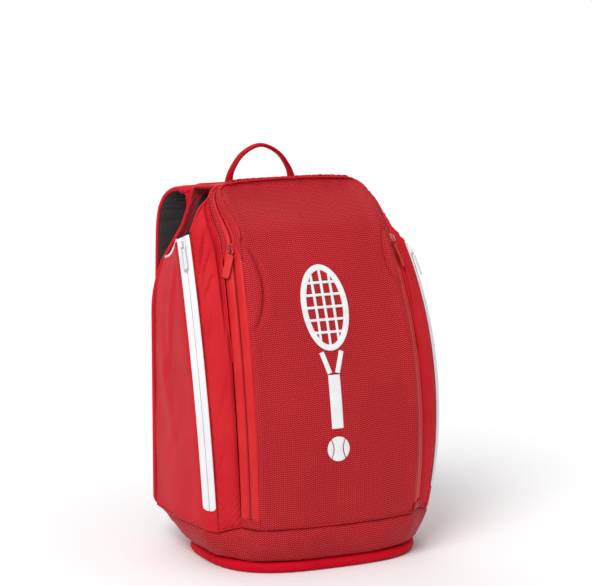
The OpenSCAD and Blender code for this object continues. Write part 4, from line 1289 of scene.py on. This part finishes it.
# ---------------------------------------------------------------- shoulder straps
STRAP_W, STRAP_X, STRAP_TOP_X = 0.062, 0.097, 0.078
STRAP_END = np.array([0.097, 0.160, 0.165])
STRAP_LINE = ((STRAP_TOP_X, 0.141, 0.437, 0.80), (STRAP_TOP_X + 0.002, 0.150, 0.4415, 0.84),
              (STRAP_TOP_X + 0.007, 0.160, 0.438, 0.90), (STRAP_TOP_X + 0.013, 0.167, 0.426, 0.96),
              (STRAP_X - 0.002, 0.170, 0.400, 1), (STRAP_X, 0.170, 0.335, 1), (STRAP_X, 0.171, 0.270, 1),
              (STRAP_X, 0.172, 0.215, 0.94), (STRAP_END[0], STRAP_END[1] + 0.002, STRAP_END[2] + 0.008, 0.62))
SHELL_T, PAD_T, CHANNEL = 0.004, 0.006, 0.0185
line, run = resampled(spline(STRAP_LINE, 16), 0.0022)
k = np.linspace(-1, 1, 36)[None]
strap_mid = line[:, None, :3] + (k * line[:, 3:] * STRAP_W / 2)[..., None] * np.array([1.0, 0, 0])
crown = np.sqrt(np.clip(1 - abs(k) ** 5, 0, 1))
cap = np.sqrt(np.clip(np.minimum(run, run[-1] - run) / 0.006, 0.03, 1))[:, None]
dips = abs(np.sin(np.pi * (run[:, None] - 0.010) / CHANNEL)) ** 0.55
for side in SIDES:
    mid = on_side(strap_mid, side)
    body = f"strap_{side}"
    out = pushed(mid, 0.0002 + (SHELL_T - 0.0002) * crown * cap)
    points, faces = shell_mesh(out, pushed(mid, 0.0001 + 0 * crown * cap))
    cloth = cloth_of(mid)
    piece(f"strap_cover_{side}", points, faces, TWILL, body=body, slot="smooth_fabric",
          nodes=[f"strap_shell_{side}"], weave=cloth)
    under = pushed(mid, -0.0002 - (PAD_T - 0.0004) * crown * cap * mix(0.62, 1, dips))
    points, faces = shell_mesh(pushed(mid, -0.0001 + 0 * crown * cap), under)
    pad = piece(f"strap_pad_{side}", points, faces, AIR_MESH, body=body, slot="black_mesh",
                nodes=[f"strap_padding_{side}"], weave=cloth)
    edges = []
    for column in (0, -1):
        edges.append(sweep(mid[2:-1, column], round_section(0.0030, 0.0022, 12), (1, 0, 0)))
    points, faces, cloth = merged(edges)
    outward(piece(f"strap_binding_{side}", points, faces, BINDING, body=body, slot="smooth_fabric", weave=cloth))

# ---------------------------------------------------------------- webbing, locks and tails
WEB_W, WEB_T = 0.025, 0.0016
LOCK_W, LOCK_H, LOCK_T = 0.033, 0.024, 0.0044
LOCK_AT = STRAP_END + [0, -0.002, -0.008]
LOCK_LEAN = math.radians(-12)
ANCHOR = np.array([0.128, 0.1382, 0.078])


def ribbon(name, path, lean, material, side, thick=WEB_T, width=WEB_W, **where):
    path, _ = resampled(path, 0.003)
    k = np.linspace(-1, 1, 16)[None]
    grid = path[:, None] + (k * width / 2)[..., None] * np.asarray(lean, float)
    grid = on_side(grid[::-1], side)
    bulge = thick * (0.5 + 0.5 * (1 - abs(k) ** 10)) + 0 * grid[..., 0]
    return shell(name, grid, bulge, material, **where)


def lock_place(x, z, depth):
    """Place on the ladder lock, in its own plane, on the right side."""
    c, s = math.cos(LOCK_LEAN), math.sin(LOCK_LEAN)
    return LOCK_AT + np.array([x, depth * c - z * s, depth * s + z * c])


# Root of the strap: cloth from under the yoke, sewn over the strap's end where the hinge is
ROOT_W = 0.8 * STRAP_W - 0.004
ROOT_FOOT = np.array([STRAP_TOP_X, BACK_Y + 0.0012, 0.4180])
ROOT_HINGE = np.array([STRAP_TOP_X, 0.1405, 0.4360])

for side in SIDES:
    sx = 1 if side == "right" else -1
    path = spline([ROOT_HINGE + [0, 0.0050, 0.0040], ROOT_HINGE + [0, 0.0006, 0.0016],
                   ROOT_HINGE + [0, -0.0026, -0.0036], ROOT_FOOT + [0, 0.0004, 0.0080], ROOT_FOOT], 12)
    root = ribbon(f"strap_root_{side}", path, (1, 0, 0), TWILL, side, thick=0.0018, width=ROOT_W, body=None,
                  slot="smooth_fabric")
    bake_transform(root)

for side in SIDES:
    top = LOCK_AT + [0, 0.0005, -LOCK_H / 2 + 0.0045]
    path = spline([top, mix(top, ANCHOR, 0.35) + [0, 0.002, -0.001], mix(top, ANCHOR, 0.75) + [0, 0.001, 0],
                   ANCHOR + [0, 0.0018, 0.008]], 12)
    web = ribbon(f"webbing_{side}", path, (1, 0, 0.4), RED_WEB, side, body=None, slot="red_webbing",
                 nodes=[f"strap_webbing_{side}"])
    sx = 1 if side == "right" else -1
    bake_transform(web)
    top = LOCK_AT + [0, 0.005, -LOCK_H / 2 + 0.004]
    path = spline([top, top + [0, 0.0015, -0.018], top + [-0.001, 0, -0.060], top + [-0.003, -0.0025, -0.104]], 14)
    body = f"ladder_lock_{side}"
    ribbon(f"tail_{side}", path, (1, 0, 0), RED_WEB, side, body=body, slot="red_webbing",
           nodes=[f"webbing_tail_{side}"])
    hem = path[-7:-2] + [0, 0.0008, 0]
    ribbon(f"tail_hem_{side}", hem, (1, 0, 0), RED_WEB, side, thick=0.0026, body=body, slot="red_webbing")

    outline = soft_rect(LOCK_W - 0.0034, LOCK_H - 0.0034, 0.0035, 8)
    ring = np.array([lock_place(x, z, 0) for x, z in outline])
    bars = [sweep(ring, round_section(0.0018, LOCK_T / 2, 12, 3), lock_place(0, 0, 1) - LOCK_AT, closed=True)]
    middle = np.array([lock_place(x, 0, 0) for x in np.linspace(-LOCK_W / 2 + 0.002, LOCK_W / 2 - 0.002, 9)])
    bars.append(sweep(middle, round_section(0.0019, 0.0015, 10, 3), (0, 1, 0)))
    points, faces, cloth = merged(bars)
    points = points if side == "right" else mirrored(points)
    outward(piece(f"lock_frame_{side}", points, faces, PLASTIC, body=body, slot="black_plastic",
                  nodes=[f"ladder_lock_{side}"], weave=cloth))

# ---------------------------------------------------------------- sliders and pulls
LOOP_POINTS, TAB_ROWS, TAB_AROUND = 40, 26, 20
for side in SIDES:
    for zip_name, arc, tab_w, cloth_finish, metal, slot_name in (
            ("front", front_zip, 0.0104, RED_PULL, RED_METAL, "red_pull"),
            ("racket", racket_zip if side == "right" else racket_zip_left, 0.0070, WHITE_PULL, WHITE_METAL,
             "white_pull")):
        slider = bpy.data.objects[f"{zip_name}_slider_{side}"]
        slider.data.materials.clear()
        slider.data.materials.append(metal)
        body = f"{zip_name}_pull_{side}"
        hinge, arm, reach = 0.00425, 0.0033, 0.0100
        loop = [(arm * math.cos(a) * 0.9, -reach / 2 + 0.0004 + reach / 2 * math.sin(a))
                for a in np.linspace(0, 2 * np.pi, LOOP_POINTS, endpoint=False)]
        loop = [(np.sign(z) * abs(z / arm) ** 0.55 * arm, y) for z, y in loop]
        fronts, alongs = np.array(loop).T
        ring = arc.at_slider(np.full(LOOP_POINTS, hinge), alongs, fronts)
        out = arc.at_slider(1.0, 0.0, 0.0) - arc.at_slider(0.0, 0.0, 0.0)
        if side == "left":
            ring, out = mirrored(ring), mirrored(out)
        points, faces, cloth = sweep(ring, round_section(0.00062, 0.00062, 10), out, closed=True)
        wire = outward(piece(f"{body}_wire", points, faces, metal, body=body, slot=slot_name, weave=cloth))
        along = np.linspace(-0.0082, -0.0350, TAB_ROWS)
        k = (along - along[0]) / (along[-1] - along[0])
        lean = math.tan(math.radians(22 if zip_name == "front" else 0))
        track = arc.at_slider(hinge + 0.0003 * np.sin(np.pi * k), along, lean * (along - along[0]))
        front = arc.at_slider(0.0, 0.0, 1.0) - arc.at_slider(0.0, 0.0, 0.0)
        if side == "left":
            track, front = mirrored(track), mirrored(front)
        points, faces, cloth = sweep(track, round_section(0.00115, tab_w / 2, TAB_AROUND, 3.2), front,
                                     round_ends=False)
        rings = points.reshape(TAB_ROWS, TAB_AROUND, 3)
        wide = np.sqrt(np.clip(1 - np.clip((k - 0.90) / 0.105, 0, 1) ** 2.4, 0.05, 1)) * mix(0.86, 1, smooth(k / 0.25))
        fat = 1 + 0.5 * np.exp(-((k - 0.04) / 0.08) ** 2) - 0.35 * smooth((k - 0.9) / 0.1)
        offset = rings - track[:, None]
        sideways = (offset @ front)[..., None] * front
        rings = track[:, None] + sideways * wide[:, None, None] + (offset - sideways) * fat[:, None, None]
        outward(piece(f"{body}_tab", rings.reshape(-1, 3), faces, cloth_finish, body=body, slot=slot_name,
                      nodes=[body], weave=cloth))

for name in ("base_board", "back_stiffener"):
    bpy.data.objects[name].data.materials.clear()
    bpy.data.objects[name].data.materials.append(BOARD)

# ---------------------------------------------------------------- back pads, blown up as cloth
PAD_BOX = {"back_pad_left": (-0.052, 0.284, 0.078, 0.188, 0.010),
           "back_pad_right": (0.052, 0.284, 0.078, 0.188, 0.010),
           "lumbar_pad": (0.0, 0.132, 0.182, 0.088, 0.012)}
PAD_FROM, VOXEL, PAD_CAP, FRAMES = BACK_Y + 0.0003, 0.005, 0.004, 20


def mesh_of(obj):
    """Points and faces of an object with its modifiers applied."""
    made = obj.evaluated_get(bpy.context.evaluated_depsgraph_get())
    mesh = made.to_mesh()
    flat = np.empty(len(mesh.vertices) * 3)
    mesh.vertices.foreach_get("co", flat)
    faces = [list(p.vertices) for p in mesh.polygons]
    made.to_mesh_clear()
    return flat.reshape(-1, 3), faces


def blank_object(points, faces):
    mesh = bpy.data.meshes.new("pad_form")
    mesh.from_pydata(points.tolist(), [], faces)
    obj = bpy.data.objects.new("pad_form", mesh)
    scene.collection.objects.link(obj)
    return obj


def remeshed(points, faces):
    obj = blank_object(points, faces)
    voxels = obj.modifiers.new("voxels", "REMESH")
    voxels.mode, voxels.voxel_size = "VOXEL", VOXEL
    result = mesh_of(obj)
    bpy.data.objects.remove(obj)
    return result


def inflated(points, faces):
    """The closed form swollen by air pressure, with every point moved no further than the cap."""
    obj = blank_object(points, faces)
    cloth = obj.modifiers.new("cloth", "CLOTH")
    cloth.settings.use_pressure = True
    cloth.settings.uniform_pressure_force = 4
    cloth.settings.effector_weights.gravity = 0
    cloth.point_cache.frame_end = FRAMES
    for frame in range(1, FRAMES + 1):
        scene.frame_set(frame)
    swollen, _ = mesh_of(obj)
    scene.frame_set(1)
    bpy.data.objects.remove(obj)
    moved = swollen - points
    far = np.linalg.norm(moved, axis=1, keepdims=True)
    return points + moved * np.minimum(1, PAD_CAP / np.maximum(far, 1e-9))


def subdivided(points, faces):
    obj = blank_object(points, faces)
    finer = obj.modifiers.new("finer", "SUBSURF")
    finer.levels = 1
    result = mesh_of(obj)
    bpy.data.objects.remove(obj)
    return result


def sewn_pad(name, x0, z0, width, height, thick):
    """A crowned pad: flat on the back panel, quilted in level channels, with a seam round its edge."""
    k = np.linspace(-1, 1, 33)
    s, t = np.meshgrid(k, np.linspace(-1, 1, 49))
    x = x0 - s * np.sqrt(1 - 0.16 * t * t) * (width / 2 - 0.003)
    z = z0 + t * np.sqrt(1 - 0.16 * s * s) * (height / 2 - 0.003)
    crown = np.sqrt(np.clip((1 - abs(s) ** 6) * (1 - abs(t) ** 6), 0, 1))
    outer = np.stack([x, PAD_FROM + 0.002 + (thick - 0.0045) * crown, z], -1)
    points, faces = shell_mesh(outer, np.stack([x, np.full_like(x, PAD_FROM), z], -1))
    points, faces = remeshed(points, faces.tolist())
    points = inflated(points, faces)
    points, faces = subdivided(points, faces)
    local = (points - [x0, 0, z0]) / [width / 2, 1, height / 2]
    edge = np.maximum(abs(local[:, 0]), abs(local[:, 2]))
    front = smooth((points[:, 1] - PAD_FROM - 0.001) / 0.004)
    channel = abs((local[:, 2] * height / 0.0235 + 0.5 * (height < 0.1)) % 1 - 0.5)
    dip = 0.0034 * np.exp(-((0.5 - channel) * 0.0235 / 0.0032) ** 2) * smooth((0.93 - edge) / 0.06)
    welt = 0.0012 * np.exp(-((edge - 0.90) / 0.025) ** 2)
    points[:, 1] = np.clip(points[:, 1] - front * (dip + welt), PAD_FROM, PAD_FROM + thick)
    pad = outward(piece(name + "_cushion", points, faces, AIR_MESH, slot="black_mesh", nodes=[name],
                        weave=points[:, [0, 2]]))
    rim = soft_rect(width - 0.002, height - 0.002, 0.014, 8)
    path = np.array([on_back(x0, z0, PAD_FROM)(px, pz, 0.0016) for px, pz in rim])
    path, _ = resampled(np.vstack([path, path[:1]]), 0.004)
    tube(name + "_rim", path[:-1], 0.0020, 0.0016, (0, 1, 0), BINDING, count=10, closed=True, slot="smooth_fabric")


for name, box in PAD_BOX.items():
    sewn_pad(name, *box)
